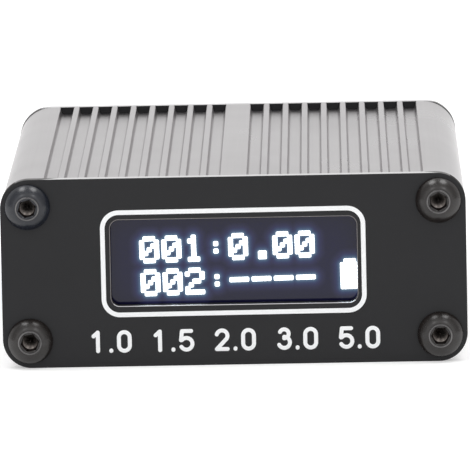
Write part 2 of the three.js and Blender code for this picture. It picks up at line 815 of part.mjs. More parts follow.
// Knob at the left end of its travel, with grooves across its tip for the thumb
function knobBody(bodyEnd) {
  const x = -switchTravel / 2;
  const inner = bodyEnd - knobSeatDepth;
  const tip = rearFace + knobReach;
  const toothWidth = knobWidth / (2 * knobGrooveCount + 1);
  const shape = new THREE.Shape();
  shape.moveTo(x - knobWidth / 2, inner);
  shape.lineTo(x + knobWidth / 2, inner);
  shape.lineTo(x + knobWidth / 2, tip);
  for (let i = knobGrooveCount - 1; i >= 0; i -= 1) {
    const left = x - knobWidth / 2 + (2 * i + 1) * toothWidth;
    shape.lineTo(left + toothWidth, tip);
    shape.lineTo(left + toothWidth, tip - knobGrooveDepth);
    shape.lineTo(left, tip - knobGrooveDepth);
    shape.lineTo(left, tip);
  }
  shape.lineTo(x - knobWidth / 2, tip);
  shape.closePath();
  return extrudedAlongZ(shape, switchAxisHeight - knobHeight / 2, switchAxisHeight + knobHeight / 2);
}

// Bridge

const coreAxisHeight = boardTop + windingSeatGap + coreOuterRadius + windingThickness;
const pinEnd = socketInnerEnd - contactPinLength;
const lineCrossY = pinEnd - lineSetback;

// A ring whose axis runs along X
function ringBody(innerRadius, outerRadius, thickness, y) {
  const half = thickness / 2;
  const ring = turned([
    [innerRadius, -half],
    [outerRadius, -half],
    [outerRadius, half],
    [innerRadius, half],
    [innerRadius, -half],
  ]);
  return ring.rotate([0, 0, -90]).translate([0, y, coreAxisHeight]);
}

// A layer of wire round a core, with the core's top left bare
function windingBody(y) {
  const wound = ringBody(
    coreInnerRadius - windingThickness,
    coreOuterRadius + windingThickness,
    coreThickness + 2 * windingThickness,
    y,
  );
  const core = ringBody(
    coreInnerRadius - windingClearance,
    coreOuterRadius + windingClearance,
    coreThickness + 2 * windingClearance,
    y,
  );
  const gapHeight = coreOuterRadius + windingThickness + overrun;
  const gapWidth = coreThickness + 2 * windingThickness + 2 * overrun;
  const gap = block(gapWidth, windingGapWidth, gapHeight, 0, y, coreAxisHeight + gapHeight / 2);
  return cut(wound, core, gap);
}

function diodeBody(x, y) {
  const axis = boardTop + diodeHeight;
  const glass = rod(diodeRadius, y - diodeLength / 2, y + diodeLength / 2, x, axis, holeSegments);
  const foot = diodeHeight + diodeLeadRadius;
  const leads = rod(diodeLeadRadius, y - diodeLeadSpan / 2, y + diodeLeadSpan / 2, x, axis, wireSides);
  const legs = [-1, 1].map((end) => {
    const legY = y + end * (diodeLeadSpan / 2 - diodeLeadRadius);
    return block(2 * diodeLeadRadius, 2 * diodeLeadRadius, foot, x, legY, boardTop + foot / 2);
  });
  return join(glass, leads, ...legs);
}

function trimmerBody(x, y) {
  const base = block(trimmerSize, trimmerSize, trimmerHeight, x, y, boardTop + trimmerHeight / 2);
  const dialHeight = trimmerDialHeight + overrun;
  const dial = new THREE.CylinderGeometry(trimmerDialRadius, trimmerDialRadius, dialHeight, circleSegments);
  const top = boardTop + trimmerHeight + trimmerDialHeight;
  dial.rotateX(quarterTurn).translate(x, y, top - dialHeight / 2);
  const slot = block(2 * trimmerDialRadius, trimmerSlotWidth, 2 * trimmerDialHeight, x, y, top);
  return cut(join(base, solid(dial)), slot);
}

function buildBridge() {
  const z = socketAxisHeight;
  const x = socketSpacing / 2;
  const route = [
    new THREE.Vector3(-x, pinEnd - linePinGap, z),
    new THREE.Vector3(-x, lineCrossY, z),
    new THREE.Vector3(-x / 2, lineCrossY, coreAxisHeight),
    new THREE.Vector3(x / 2, lineCrossY, coreAxisHeight),
    new THREE.Vector3(x, lineCrossY, z),
    new THREE.Vector3(x, pinEnd - linePinGap, z),
  ];
  addPart('through_line', wire(route, lineRadius, lineBend, lineSteps), copper);
  const cores = [['current', lineCrossY], ['voltage', lineCrossY - coreSpacing]];
  for (const [name, y] of cores) {
    const core = ringBody(coreInnerRadius, coreOuterRadius, coreThickness, y);
    addPart(`${name}_core`, core, ferrite);
    addPart(`${name}_winding`, windingBody(y), copper);
  }
  for (const [side, sign] of [['left', -1], ['right', 1]]) {
    const y = lineCrossY - coreSpacing;
    addPart(`detector_diode_${side}`, diodeBody(sign * diodeOffset, y), diodeGlass);
    addPart(`calibration_trimmer_${side}`, trimmerBody(sign * trimmerOffset, y), bluePlastic);
  }
}

// Chips

// A chip with a row of bent leads on each long side; length runs along X
function chipBody(length, width, height, leadsPerSide, x, y) {
  const bottom = boardTop + chipStandoff;
  const outline = rectangle(length, width, x, y);
  let body = extrudedAlongZ(outline, bottom, boardTop + height, chipEdgeBreak);
  const pitch = length / leadsPerSide;
  const shoulder = boardTop + (chipStandoff + height) / 2;
  const outer = width / 2 + leadReach;
  const knee = width / 2 + leadReach / 2;
  // A pair of leads is one bent strip, whose middle lies inside the chip
  const strip = new THREE.Shape();
  strip.moveTo(y - outer, boardTop);
  strip.lineTo(y - knee + leadThickness, boardTop);
  strip.lineTo(y - knee + leadThickness, shoulder);
  strip.lineTo(y + knee - leadThickness, shoulder);
  strip.lineTo(y + knee - leadThickness, boardTop);
  strip.lineTo(y + outer, boardTop);
  strip.lineTo(y + outer, boardTop + leadThickness);
  strip.lineTo(y + knee, boardTop + leadThickness);
  strip.lineTo(y + knee, shoulder + leadThickness);
  strip.lineTo(y - knee, shoulder + leadThickness);
  strip.lineTo(y - knee, boardTop + leadThickness);
  strip.lineTo(y - outer, boardTop + leadThickness);
  strip.closePath();
  for (let i = 0; i < leadsPerSide; i += 1) {
    const leadX = x + (i - (leadsPerSide - 1) / 2) * pitch;
    body = join(body, extrudedAlongX(strip, leadWidth, leadX));
  }
  return body;
}

function buildChips() {
  const controllerY = boardFrontEdge + controllerSetback;
  const controller = chipBody(
    controllerLength,
    controllerWidth,
    controllerHeight,
    controllerLeadsPerSide,
    0,
    controllerY,
  );
  addPart('microcontroller', controller, blackPlastic);
  const charger = chipBody(
    chargeChipLength,
    chargeChipWidth,
    chargeChipHeight,
    chargeChipLeadsPerSide,
    chargeChipOffset,
    controllerY,
  );
  addPart('charger_chip', charger, blackPlastic);
}

// Battery

function buildBattery() {
  const start = frontEnd + batterySetback;
  const shape = roundedRectangle(
    batteryWidth,
    batteryLength,
    batteryCornerRadius,
    0,
    start + batteryLength / 2,
  );
  const top = roofWall + batteryHeight;
  addPart('battery_pouch', extrudedAlongZ(shape, roofWall, top, batteryEdgeRadius), pouchFoil);
  const plugStart = boardFrontEdge + plugSetback;
  const plugShape = rectangle(plugWidth, plugLength, -plugOffset, plugStart + plugLength / 2);
  const plug = extrudedAlongZ(plugShape, boardTop, boardTop + plugHeight, plugEdgeBreak);
  addPart('battery_plug', plug, whitePlastic);
  const loopY = boardFrontEdge - leadWireLoop;
  const leads = [['red', -1, redLead], ['black', 1, blackLead]];
  for (const [colour, sign, material] of leads) {
    const x = sign * leadWireSpacing / 2 - plugOffset;
    const route = [
      new THREE.Vector3(x, start - leadWireEndGap, roofWall + batteryHeight / 2),
      new THREE.Vector3(x, loopY, roofWall + batteryHeight / 2),
      new THREE.Vector3(x, loopY, boardTop + plugHeight / 2),
      new THREE.Vector3(x, plugStart - leadWireEndGap, boardTop + plugHeight / 2),
    ];
    addPart(`battery_lead_${colour}`, wire(route, leadWireRadius, leadWireBend, leadWireSteps), material);
  }
}

buildSleeve();
buildFrontPanel();
buildRearPanel();
buildScrews();
buildDisplay();
buildMainBoard();
buildSockets();
buildChargingSocket();
buildSwitch();
buildBridge();
buildChips();
buildBattery();

export default part;
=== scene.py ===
import math

import bmesh
import bpy
from mathutils import Matrix, Vector, kdtree


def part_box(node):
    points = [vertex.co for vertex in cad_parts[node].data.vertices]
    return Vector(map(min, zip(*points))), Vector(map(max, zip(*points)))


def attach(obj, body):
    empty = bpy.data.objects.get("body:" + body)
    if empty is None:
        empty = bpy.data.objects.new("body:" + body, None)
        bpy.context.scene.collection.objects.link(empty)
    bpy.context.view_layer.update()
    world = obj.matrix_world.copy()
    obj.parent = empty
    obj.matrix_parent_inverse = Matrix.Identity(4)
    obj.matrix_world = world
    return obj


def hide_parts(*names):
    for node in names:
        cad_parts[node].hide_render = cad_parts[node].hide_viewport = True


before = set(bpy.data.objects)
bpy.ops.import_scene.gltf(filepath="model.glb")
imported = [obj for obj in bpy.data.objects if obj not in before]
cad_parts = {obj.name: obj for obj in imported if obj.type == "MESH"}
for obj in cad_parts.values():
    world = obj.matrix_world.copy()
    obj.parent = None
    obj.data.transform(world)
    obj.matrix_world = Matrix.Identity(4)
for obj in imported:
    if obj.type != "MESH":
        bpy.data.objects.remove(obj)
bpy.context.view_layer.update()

# Housing sleeve
# One aluminium extrusion, sawn to length and satin anodised. Nine grooves run on each side of a plain
# strip, over and under. Inside it has four screw ports, and two pairs of lips that hold the board.
mm = 0.001
weld_distance = 0.0001 * mm
sharp_angle = math.radians(38)
sleeve_low, sleeve_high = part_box("housing_sleeve")
sleeve_width = sleeve_high.x - sleeve_low.x
sleeve_height = sleeve_high.z - sleeve_low.z
sleeve_corner_radius = 4.25 * mm
sleeve_corner_steps = 16
roof_wall = 2 * mm
side_wall = 1.6 * mm
groove_count = 9
groove_pitch = 2.53 * mm
groove_width = 1.5 * mm
groove_draft = 0.14 * mm
groove_shift = 0.12 * mm
groove_depth = 0.95 * mm
plain_strip_width = 3.55 * mm
groove_lip_radius = 0.14 * mm
groove_lip_steps = 3
groove_root_radius = 0.3 * mm
groove_root_steps = 4
sleeve_bore_steps = 6
screw_inset = 3.42 * mm
port_radius = 1.6 * mm
port_wall = 1.25 * mm
port_mouth = 1.5 * mm
port_bore_steps = 24
port_wall_steps = 32
board_low, board_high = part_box("main_board")
board_lip_reach = 1.7 * mm
board_lip_thickness = 0.9 * mm
board_slot_clearance = 0.15 * mm
overrun = 1 * mm
upright = Matrix.Rotation(math.radians(90), 4, "X")    # stands up what an operator draws flat


def linear(hex_colour):
    """An sRGB hex colour as the linear values that a shader takes."""
    shares = [int(hex_colour[i:i + 2], 16) / 255 for i in (1, 3, 5)]
    return [s / 12.92 if s <= 0.04045 else ((s + 0.055) / 1.055) ** 2.4 for s in shares] + [1]


def add_node(tree, kind, inputs, outputs=(), **settings):
    """A node with its settings. Inputs are values or sockets, and outputs name the sockets they feed."""
    node = tree.nodes.new(kind)
    for name, value in settings.items():
        setattr(node, name, value)
    for name, value in inputs.items():
        if isinstance(value, bpy.types.NodeSocket):
            tree.links.new(value, node.inputs[name])
        else:
            node.inputs[name].default_value = value
    for name, socket in outputs:
        tree.links.new(node.outputs[name], socket)
    return node


def new_finish(name, colour, roughness, **constants):
    """A material, its node tree, its main shader and the place on the object, which its patterns follow."""
    material = bpy.data.materials.new(name)
    material.use_nodes = True
    tree = material.node_tree
    shader = tree.nodes["Principled BSDF"]
    shader.inputs["Base Color"].default_value = linear(colour)
    shader.inputs["Roughness"].default_value = roughness
    for socket, value in constants.items():
        shader.inputs[socket.replace("_", " ")].default_value = value
    return material, tree, shader, add_node(tree, "ShaderNodeTexCoord", {}).outputs["Object"]


def show_pattern(tree, shader, value, colours=(), roughness=(), spread=(0.0, 1.0), relief=()):
    """Lets a pattern's value set the surface: from one colour or roughness to another, and up and down.

    The roughness changes where the value lies within the spread. The relief is a strength and a height."""
    if colours:
        add_node(
            tree, "ShaderNodeMix", {"Factor": value, "A": linear(colours[0]), "B": linear(colours[1])},
            [("Result", shader.inputs["Base Color"])], data_type="RGBA",
        )
    if roughness:
        add_node(
            tree, "ShaderNodeMapRange",
            {
                "Value": value,
                "From Min": spread[0],
                "From Max": spread[1],
                "To Min": roughness[0],
                "To Max": roughness[1],
            },
            [("Result", shader.inputs["Roughness"])],
        )
    if relief:
        add_node(
            tree, "ShaderNodeBump", {"Height": value, "Strength": relief[0], "Distance": relief[1]},
            [("Normal", shader.inputs["Normal"])],
        )


def rounded_rectangle(bm, width, height, radius, steps, x=0, z=0):
    """Draws the outline in X and Z at y = 0, with a face in it."""
    place = Matrix.Translation((x, 0, z)) @ upright @ Matrix.Diagonal((width, height, 1, 1))
    corners = bmesh.ops.create_grid(bm, x_segments=1, y_segments=1, size=0.5, matrix=place)["verts"]
    bmesh.ops.bevel(
        bm, geom=corners, offset=radius, segments=steps, profile=0.5, affect="VERTICES", material=-1,
    )


def draw_faces_out(bm, start, end):
    """Draws the faces, which lie at y = 0, along Y into closed solids."""
    bmesh.ops.translate(bm, verts=bm.verts[:], vec=(0, start, 0))
    drawn = bmesh.ops.extrude_face_region(bm, geom=bm.faces[:])["geom"]
    moved = [v for v in drawn if isinstance(v, bmesh.types.BMVert)]
    bmesh.ops.translate(bm, verts=moved, vec=(0, end - start, 0))
    bmesh.ops.recalc_face_normals(bm, faces=bm.faces[:])


def draw_out(bm, start, end):
    """Fills what lies between the outlines, and draws that section along Y into a closed solid."""
    bmesh.ops.delete(bm, geom=bm.faces[:], context="FACES_ONLY")
    bmesh.ops.triangle_fill(bm, use_beauty=True, edges=bm.edges[:])
    draw_faces_out(bm, start, end)


def add_block(bm, low, high):
    """A block between two of its corners."""
    size = [h - l for l, h in zip(low, high)]
    middle = [(l + h) / 2 for l, h in zip(low, high)]
    bmesh.ops.create_cube(bm, size=1, matrix=Matrix.Translation(middle) @ Matrix.Diagonal((*size, 1)))


def add_rod(bm, radius, start, end, x, z, steps):
    """A round rod along Y."""
    place = Matrix.Translation((x, (start + end) / 2, z)) @ upright
    bmesh.ops.create_cone(
        bm, cap_ends=True, segments=steps, radius1=radius, radius2=radius, depth=end - start, matrix=place,
    )


def carve(bm, tool):
    """The solids of bm less those of tool, as a new bmesh. Both are used up."""
    stock, cutter = [bpy.data.objects.new(n, bpy.data.meshes.new(n)) for n in ("stock", "cutter")]
    for step, solid in ((stock, bm), (cutter, tool)):
        bmesh.ops.recalc_face_normals(solid, faces=solid.faces[:])
        solid.to_mesh(step.data)
        solid.free()
        bpy.context.scene.collection.objects.link(step)
    cut = stock.modifiers.new("cut", "BOOLEAN")
    cut.object = cutter
    cut.solver = "EXACT"
    cut.use_self = True
    bpy.context.view_layer.update()
    carved = bmesh.new()
    carved.from_mesh(stock.evaluated_get(bpy.context.evaluated_depsgraph_get()).to_mesh())
    bmesh.ops.remove_doubles(carved, verts=carved.verts[:], dist=weld_distance)
    bpy.data.objects.remove(stock)
    bpy.data.objects.remove(cutter)
    return carved


def new_piece(name, bm, materials, body="meter", stands_for=()):
    """The finished mesh as an object that rides on its body."""
    for edge in bm.edges:
        edge.smooth = edge.calc_face_angle(0) < sharp_angle
    for face in bm.faces:
        face.smooth = True
    mesh = bpy.data.meshes.new(name)
    bm.to_mesh(mesh)
    bm.free()
    for material in materials:
        mesh.materials.append(material)
    piece = bpy.data.objects.new(name, mesh)
    bpy.context.scene.collection.objects.link(piece)
    piece.modifiers.new("flat faces stay flat", "WEIGHTED_NORMAL").keep_sharp = True
    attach(piece, body)
    if stands_for:
        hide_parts(*stands_for)


def screw_axes():
    """X and Z of each screw, left and right at the bottom, then at the top."""
    x = sleeve_width / 2 - screw_inset
    return [(side * x, z) for z in (screw_inset, sleeve_height - screw_inset) for side in (-1, 1)]


def grooved_outline(bm):
    """The section's outside: a rectangle that loses its grooves, then gets its corners and lips rounded."""
    straight_angle = math.radians(1)
    place = Matrix.Translation((0, 0, sleeve_height / 2)) @ upright
    bmesh.ops.create_grid(
        bm, x_segments=1, y_segments=1, size=0.5,
        matrix=place @ Matrix.Diagonal((sleeve_width, sleeve_height, 1, 1)),
    )
    first = (plain_strip_width + groove_width) / 2
    centres = [
        groove_shift + side * (first + i * groove_pitch) for side in (-1, 1) for i in range(groove_count)
    ]
    walls = [centre + side * groove_width / 2 for centre in centres for side in (-1, 1)]
    planes = [((x, 0, 0), (1, 0, 0)) for x in walls]
    planes += [((0, 0, z), (0, 0, 1)) for z in (groove_depth, sleeve_height - groove_depth)]
    for point, normal in planes:
        bmesh.ops.bisect_plane(
            bm, geom=bm.verts[:] + bm.edges[:] + bm.faces[:], plane_co=point, plane_no=normal,
        )

    def in_groove(face):
        middle = face.calc_center_median()
        level = groove_depth < middle.z < sleeve_height - groove_depth
        return not level and any(abs(middle.x - centre) < groove_width / 2 for centre in centres)

    bmesh.ops.delete(bm, geom=[f for f in bm.faces if in_groove(f)], context="FACES")
    bmesh.ops.dissolve_faces(bm, faces=bm.faces[:])
    straight = [v for v in bm.verts if v.calc_edge_angle(0) < straight_angle]
    bmesh.ops.dissolve_verts(bm, verts=straight)
    outer = [v for v in bm.verts if min(v.co.z, sleeve_height - v.co.z) < weld_distance]
    corners = [v for v in outer if sleeve_width / 2 - abs(v.co.x) < weld_distance]
    lips = [v for v in outer if v not in corners]
    roots = [v for v in bm.verts if v not in outer]
    for vert in lips:
        centre = min(centres, key=lambda x: abs(vert.co.x - x))
        vert.co.x += math.copysign(groove_draft, vert.co.x - centre)
    for verts, radius, steps in (
        (corners, sleeve_corner_radius, sleeve_corner_steps),
        (lips, groove_lip_radius, groove_lip_steps),
        (roots, groove_root_radius, groove_root_steps),
    ):
        bmesh.ops.bevel(
            bm, geom=verts, offset=radius, segments=steps, profile=0.5, affect="VERTICES", material=-1,
        )


def sleeve_mesh():
    """The drawn section, then its inside cut out around the ports and lips, then the ports' bores."""
    start, end = sleeve_low.y, sleeve_high.y
    profile = bmesh.new()
    grooved_outline(profile)
    draw_out(profile, start, end)
    space = bmesh.new()
    inner_width = sleeve_width - 2 * side_wall
    inner_height = sleeve_height - 2 * roof_wall
    rounded_rectangle(
        space, inner_width, inner_height, sleeve_corner_radius - side_wall, sleeve_bore_steps,
        z=sleeve_height / 2,
    )
    draw_out(space, start - overrun, end + overrun)
    kept = bmesh.new()
    for x, z in screw_axes():
        add_rod(kept, port_radius + port_wall, start - 2 * overrun, end + 2 * overrun, x, z, port_wall_steps)
    slot_low = board_low.z - board_slot_clearance
    slot_high = board_high.z + board_slot_clearance
    for side in (-1, 1):
        for bottom in (slot_low - board_lip_thickness, slot_high):
            inside = side * (inner_width / 2 - board_lip_reach)
            outside = side * (inner_width / 2 + overrun)
            low = (min(inside, outside), start - 2 * overrun, bottom)
            high = (max(inside, outside), end + 2 * overrun, bottom + board_lip_thickness)
            add_block(kept, low, high)
    profile = carve(profile, carve(space, kept))
    ports = bmesh.new()
    for x, z in screw_axes():
        add_rod(ports, port_radius, start - overrun, end + overrun, x, z, port_bore_steps)
        inward = x - math.copysign(port_radius + port_wall + overrun, x)
        low = (min(x, inward), start - overrun, z - port_mouth / 2)
        high = (max(x, inward), end + overrun, z + port_mouth / 2)
        add_block(ports, low, high)
    return carve(profile, ports)


def satin_anodised():
    """Satin anodised aluminium: an even soft grey sheen, with die lines that barely show along it.

    The etch is drawn coarser than the real one, so that it shows."""
    die_line_spacing = 0.35 * mm
    die_line_length = 45 * mm
    etch_grain = 0.12 * mm
    etch_depth = 0.01 * mm
    cloud_size = 14 * mm
    material, tree, shader, place = new_finish("satin_anodised_aluminium", "#aca9aa", 0.3, Metallic=1.0)
    stretched = add_node(
        tree, "ShaderNodeMapping",
        {"Vector": place, "Scale": (1 / die_line_spacing, 1 / die_line_length, 1 / die_line_spacing)},
    )
    lines = add_node(
        tree, "ShaderNodeTexNoise", {"Vector": stretched.outputs[0], "Scale": 1.0, "Detail": 3.0},
    )
    grain = add_node(tree, "ShaderNodeTexNoise", {"Vector": place, "Scale": 1 / etch_grain, "Detail": 2.0})
    clouds = add_node(tree, "ShaderNodeTexNoise", {"Vector": place, "Scale": 1 / cloud_size, "Detail": 2.0})
    height = add_node(
        tree, "ShaderNodeMath", {0: lines.outputs["Fac"], 1: grain.outputs["Fac"]}, operation="ADD",
    )
    show_pattern(tree, shader, lines.outputs["Fac"], colours=("#a8a5a6", "#b0adae"))
    show_pattern(tree, shader, clouds.outputs["Fac"], roughness=(0.27, 0.32), spread=(0.3, 0.7))
    show_pattern(tree, shader, height.outputs[0], relief=(0.25, etch_depth))
    return material


new_piece("sleeve", sleeve_mesh(), [satin_anodised()], stands_for=["housing_sleeve"])

# Boards inside
# Two glass-fibre boards under green solder mask. One is pushed into the slots of the sleeve, the other is
# stuck to the back of the display, and a flat cable joins them.


def dress(material, *nodes):
    """These solids of the frame keep their shape and get this material."""
    for node in nodes:
        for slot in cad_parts[node].material_slots:
            slot.material = material


def solder_mask():
    """Green solder mask, thin and glossy: the copper tracks under it show as lighter, raised lines."""
    track_spacing = 1.3 * mm
    track_width = 0.35 * mm
    track_relief = 0.03 * mm
    track_angle = math.radians(35)
    material, tree, shader, place = new_finish("green_solder_mask", "#14532f", 0.25, Coat_Weight=0.4)
    leaning = add_node(tree, "ShaderNodeMapping", {"Vector": place, "Rotation": (track_angle, 0, 0)})
    tracks = add_node(
        tree, "ShaderNodeTexBrick",
        {
            "Vector": leaning.outputs[0],
            "Scale": 1 / track_spacing,
            "Mortar Size": track_width / track_spacing / 2,
            "Brick Width": 5.0,
            "Row Height": 1.0,
            "Color1": linear("#0f4526"),
            "Color2": linear("#124b2a"),
            "Mortar": linear("#2c7a45"),
        },
        [("Color", shader.inputs["Base Color"])],
    )
    show_pattern(tree, shader, tracks.outputs["Fac"], relief=(0.5, track_relief))
    return material


def flat_cable_film():
    """Amber polyimide film over a row of etched copper lines, which show as lighter bands in it."""
    line_pitch = 0.44 * mm
    whole_wave = math.pi / 10    # what a wave texture repeats after at a scale of 1
    material, tree, shader, place = new_finish("amber_polyimide_film", "#b5651d", 0.3, Coat_Weight=0.5)
    lines = add_node(tree, "ShaderNodeTexWave", {"Vector": place, "Scale": whole_wave / line_pitch})
    show_pattern(tree, shader, lines.outputs["Fac"], colours=("#8e4a12", "#c98238"))
    return material


def foam_tape():
    """Black foam tape: dull, with the open pores of the foam along its cut edge."""
    pore_size = 0.3 * mm
    pore_depth = 0.05 * mm
    material, tree, shader, place = new_finish("black_foam_tape", "#161616", 0.9)
    pores = add_node(tree, "ShaderNodeTexVoronoi", {"Vector": place, "Scale": 1 / pore_size})
    # painted shade: the foam is darker down in its pores
    show_pattern(
        tree, shader, pores.outputs["Distance"], colours=("#101010", "#1f1e1d"), relief=(0.6, pore_depth),
    )
    return material


dress(solder_mask(), "main_board", "display_board")
dress(flat_cable_film(), "display_ribbon")
dress(foam_tape(), "display_tape")

# Power bridge
# A copper rod joins the two sockets and runs through a ferrite ring. That ring and a second one carry turns
# of enamelled wire, with a glass diode and a trimmer on each side.


def drawn_copper():
    """Drawn copper, a little tarnished: warm and bright, with cloudy brown patches."""
    patch_size = 3 * mm
    material, tree, shader, place = new_finish("drawn_copper", "#b8734a", 0.3, Metallic=1.0)
    patches = add_node(tree, "ShaderNodeTexNoise", {"Vector": place, "Scale": 1 / patch_size, "Detail": 3.0})
    show_pattern(
        tree, shader, patches.outputs["Fac"], colours=("#a05f3c", "#cf8a60"), roughness=(0.22, 0.42),
    )
    return material


def wound_wire(node):
    """Turns of enamelled copper wire laid side by side round a ring whose axis runs along X."""
    turn_count = 18
    turn_relief = 0.25 * mm
    low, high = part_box(node.replace("winding", "core"))
    material, tree, shader, place = new_finish(
        node + "_enamelled_wire", "#a8431f", 0.25, Metallic=0.7, Coat_Weight=0.6,
    )
    facing_ring = add_node(
        tree, "ShaderNodeMapping",
        {"Vector": place, "Location": (low + high) / 2, "Rotation": (0, math.radians(90), 0)},
        vector_type="TEXTURE",
    )
    round_ring = add_node(
        tree, "ShaderNodeTexGradient", {"Vector": facing_ring.outputs[0]}, gradient_type="RADIAL",
    )
    angle = add_node(
        tree, "ShaderNodeMath", {0: round_ring.outputs["Fac"], 1: 2 * math.pi * turn_count},
        operation="MULTIPLY",
    )
    wave = add_node(tree, "ShaderNodeMath", {0: angle.outputs[0]}, operation="COSINE")
    crest = add_node(tree, "ShaderNodeMapRange", {"Value": wave.outputs[0], "From Min": -1.0})
    # painted shade and highlight: the wire is darker between the turns and lighter on their crests
    show_pattern(
        tree, shader, crest.outputs["Result"], colours=("#3d150a", "#bd5227"), relief=(0.9, turn_relief),
    )
    return material


def sintered_ferrite():
    """Sintered ferrite: a dark grey ceramic, dull and finely grained, with a few lighter specks."""
    grain_size = 0.15 * mm
    grain_relief = 0.02 * mm
    material, tree, shader, place = new_finish("sintered_ferrite", "#2b2b2d", 0.7)
    grain = add_node(tree, "ShaderNodeTexNoise", {"Vector": place, "Scale": 1 / grain_size, "Detail": 4.0})
    show_pattern(
        tree, shader, grain.outputs["Fac"], colours=("#1d1d1f", "#3c3c3e"), relief=(0.4, grain_relief),
    )
    return material


def tinned_beyond(tree, shader, place, middle, half_length, body_colour):
    """Colours what lies further along Y than half_length from the middle as tinned leads."""
    cloud_size = 0.8 * mm
    along = add_node(tree, "ShaderNodeSeparateXYZ", {"Vector": place}).outputs["Y"]
    offset = add_node(tree, "ShaderNodeMath", {0: along, 1: middle}, operation="SUBTRACT")
    away = add_node(tree, "ShaderNodeMath", {0: offset.outputs[0]}, operation="ABSOLUTE")
    on_lead = add_node(
        tree, "ShaderNodeMath", {0: away.outputs[0], 1: half_length}, [(0, shader.inputs["Metallic"])],
        operation="GREATER_THAN",
    )
    clouds = add_node(tree, "ShaderNodeTexNoise", {"Vector": place, "Scale": 1 / cloud_size, "Detail": 3.0})
    tin = add_node(
        tree, "ShaderNodeMix",
        {"Factor": clouds.outputs["Fac"], "A": linear("#a9a9a6"), "B": linear("#d2d2cf")},
        data_type="RGBA",
    )
    add_node(
        tree, "ShaderNodeMix",
        {"Factor": on_lead.outputs[0], "A": linear(body_colour), "B": tin.outputs["Result"]},
        [("Result", shader.inputs["Base Color"])], data_type="RGBA",
    )


def diode_glass():
    """A bead of amber glass fused round the chip, with tinned steel leads out of both ends."""
    glass_length = 3.8 * mm
    low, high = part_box("detector_diode_left")
    material, tree, shader, place = new_finish("amber_diode_glass", "#b4501e", 0.12, Coat_Weight=0.8)
    tinned_beyond(tree, shader, place, (low.y + high.y) / 2, glass_length / 2, "#b4501e")
    return material


def moulded(name, colour, shade, roughness, grain_size):
    """Moulded or turned plastic: an even colour, with a fine grain."""
    material, tree, shader, place = new_finish(name, colour, roughness)
    grain = add_node(tree, "ShaderNodeTexNoise", {"Vector": place, "Scale": 1 / grain_size, "Detail": 3.0})
    show_pattern(
        tree, shader, grain.outputs["Fac"], colours=(shade, colour),
        roughness=(roughness * 0.8, roughness * 1.2), relief=(0.3, grain_size / 10),
    )
    return material


dress(drawn_copper(), "through_line")
for ring_name in ("current", "voltage"):
    dress(wound_wire(ring_name + "_winding"), ring_name + "_winding")
dress(sintered_ferrite(), "current_core", "voltage_core")
dress(diode_glass(), "detector_diode_left", "detector_diode_right")
blue_nylon = moulded("blue_moulded_nylon", "#1f5fae", "#174f96", 0.4, 0.3 * mm)
dress(blue_nylon, "calibration_trimmer_left", "calibration_trimmer_right")

# Chips
# Two chips in black moulded epoxy, with tinned leads bent down to the board along both long sides.
chip_widths = {"microcontroller": 4.4 * mm, "charger_chip": 3.9 * mm}


def epoxy_chip(node):
    """Black moulded epoxy, matte, and tinned copper leads that come out of its long sides."""
    low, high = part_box(node)
    material, tree, shader, place = new_finish(node + "_epoxy", "#202021", 0.5)
    tinned_beyond(tree, shader, place, (low.y + high.y) / 2, chip_widths[node] / 2, "#202021")
    return material


for chip in chip_widths:
    dress(epoxy_chip(chip), chip)

# Battery
# A lithium pouch cell on the floor of the sleeve, in aluminium laminate with amber tape over its front fold.
# Two silicone leads run from there to a white nylon plug on the board.


def pouch_laminate():
    """Aluminium laminate: dull silver and softly wrinkled, with a strip of amber tape at the front."""
    tape_width = 5 * mm
    wrinkle_size = 3 * mm
    wrinkle_depth = 0.2 * mm
    low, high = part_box("battery_pouch")
    material, tree, shader, place = new_finish("aluminium_laminate", "#b9bcc0", 0.35)
    place = add_node(tree, "ShaderNodeTexCoord", {}).outputs["Object"]
    along = add_node(tree, "ShaderNodeSeparateXYZ", {"Vector": place}).outputs["Y"]
    past_tape = add_node(
        tree, "ShaderNodeMath", {0: along, 1: low.y + tape_width}, [(0, shader.inputs["Metallic"])],
        operation="GREATER_THAN",
    )
    wrinkles = add_node(
        tree, "ShaderNodeTexNoise",
        {"Vector": place, "Scale": 1 / wrinkle_size, "Detail": 4.0, "Distortion": 0.8},
    )
    # painted light and shade: the foil is lighter on the wrinkles' crests and darker in their hollows
    foil = add_node(
        tree, "ShaderNodeMix",
        {"Factor": wrinkles.outputs["Fac"], "A": linear("#9da1a6"), "B": linear("#c9ccd0")},
        data_type="RGBA",
    )
    add_node(
        tree, "ShaderNodeMix",
        {"Factor": past_tape.outputs[0], "A": linear("#b0701f"), "B": foil.outputs["Result"]},
        [("Result", shader.inputs["Base Color"])], data_type="RGBA",
    )
    show_pattern(tree, shader, wrinkles.outputs["Fac"], relief=(0.35, wrinkle_depth))
    return material


dress(pouch_laminate(), "battery_pouch")
dress(moulded("white_moulded_nylon", "#efece4", "#e4e0d6", 0.45, 0.3 * mm), "battery_plug")
dress(moulded("red_silicone", "#b3201c", "#9c1a17", 0.5, 0.2 * mm), "battery_lead_red")
dress(moulded("black_silicone", "#1b1b1c", "#151516", 0.5, 0.2 * mm), "battery_lead_black")
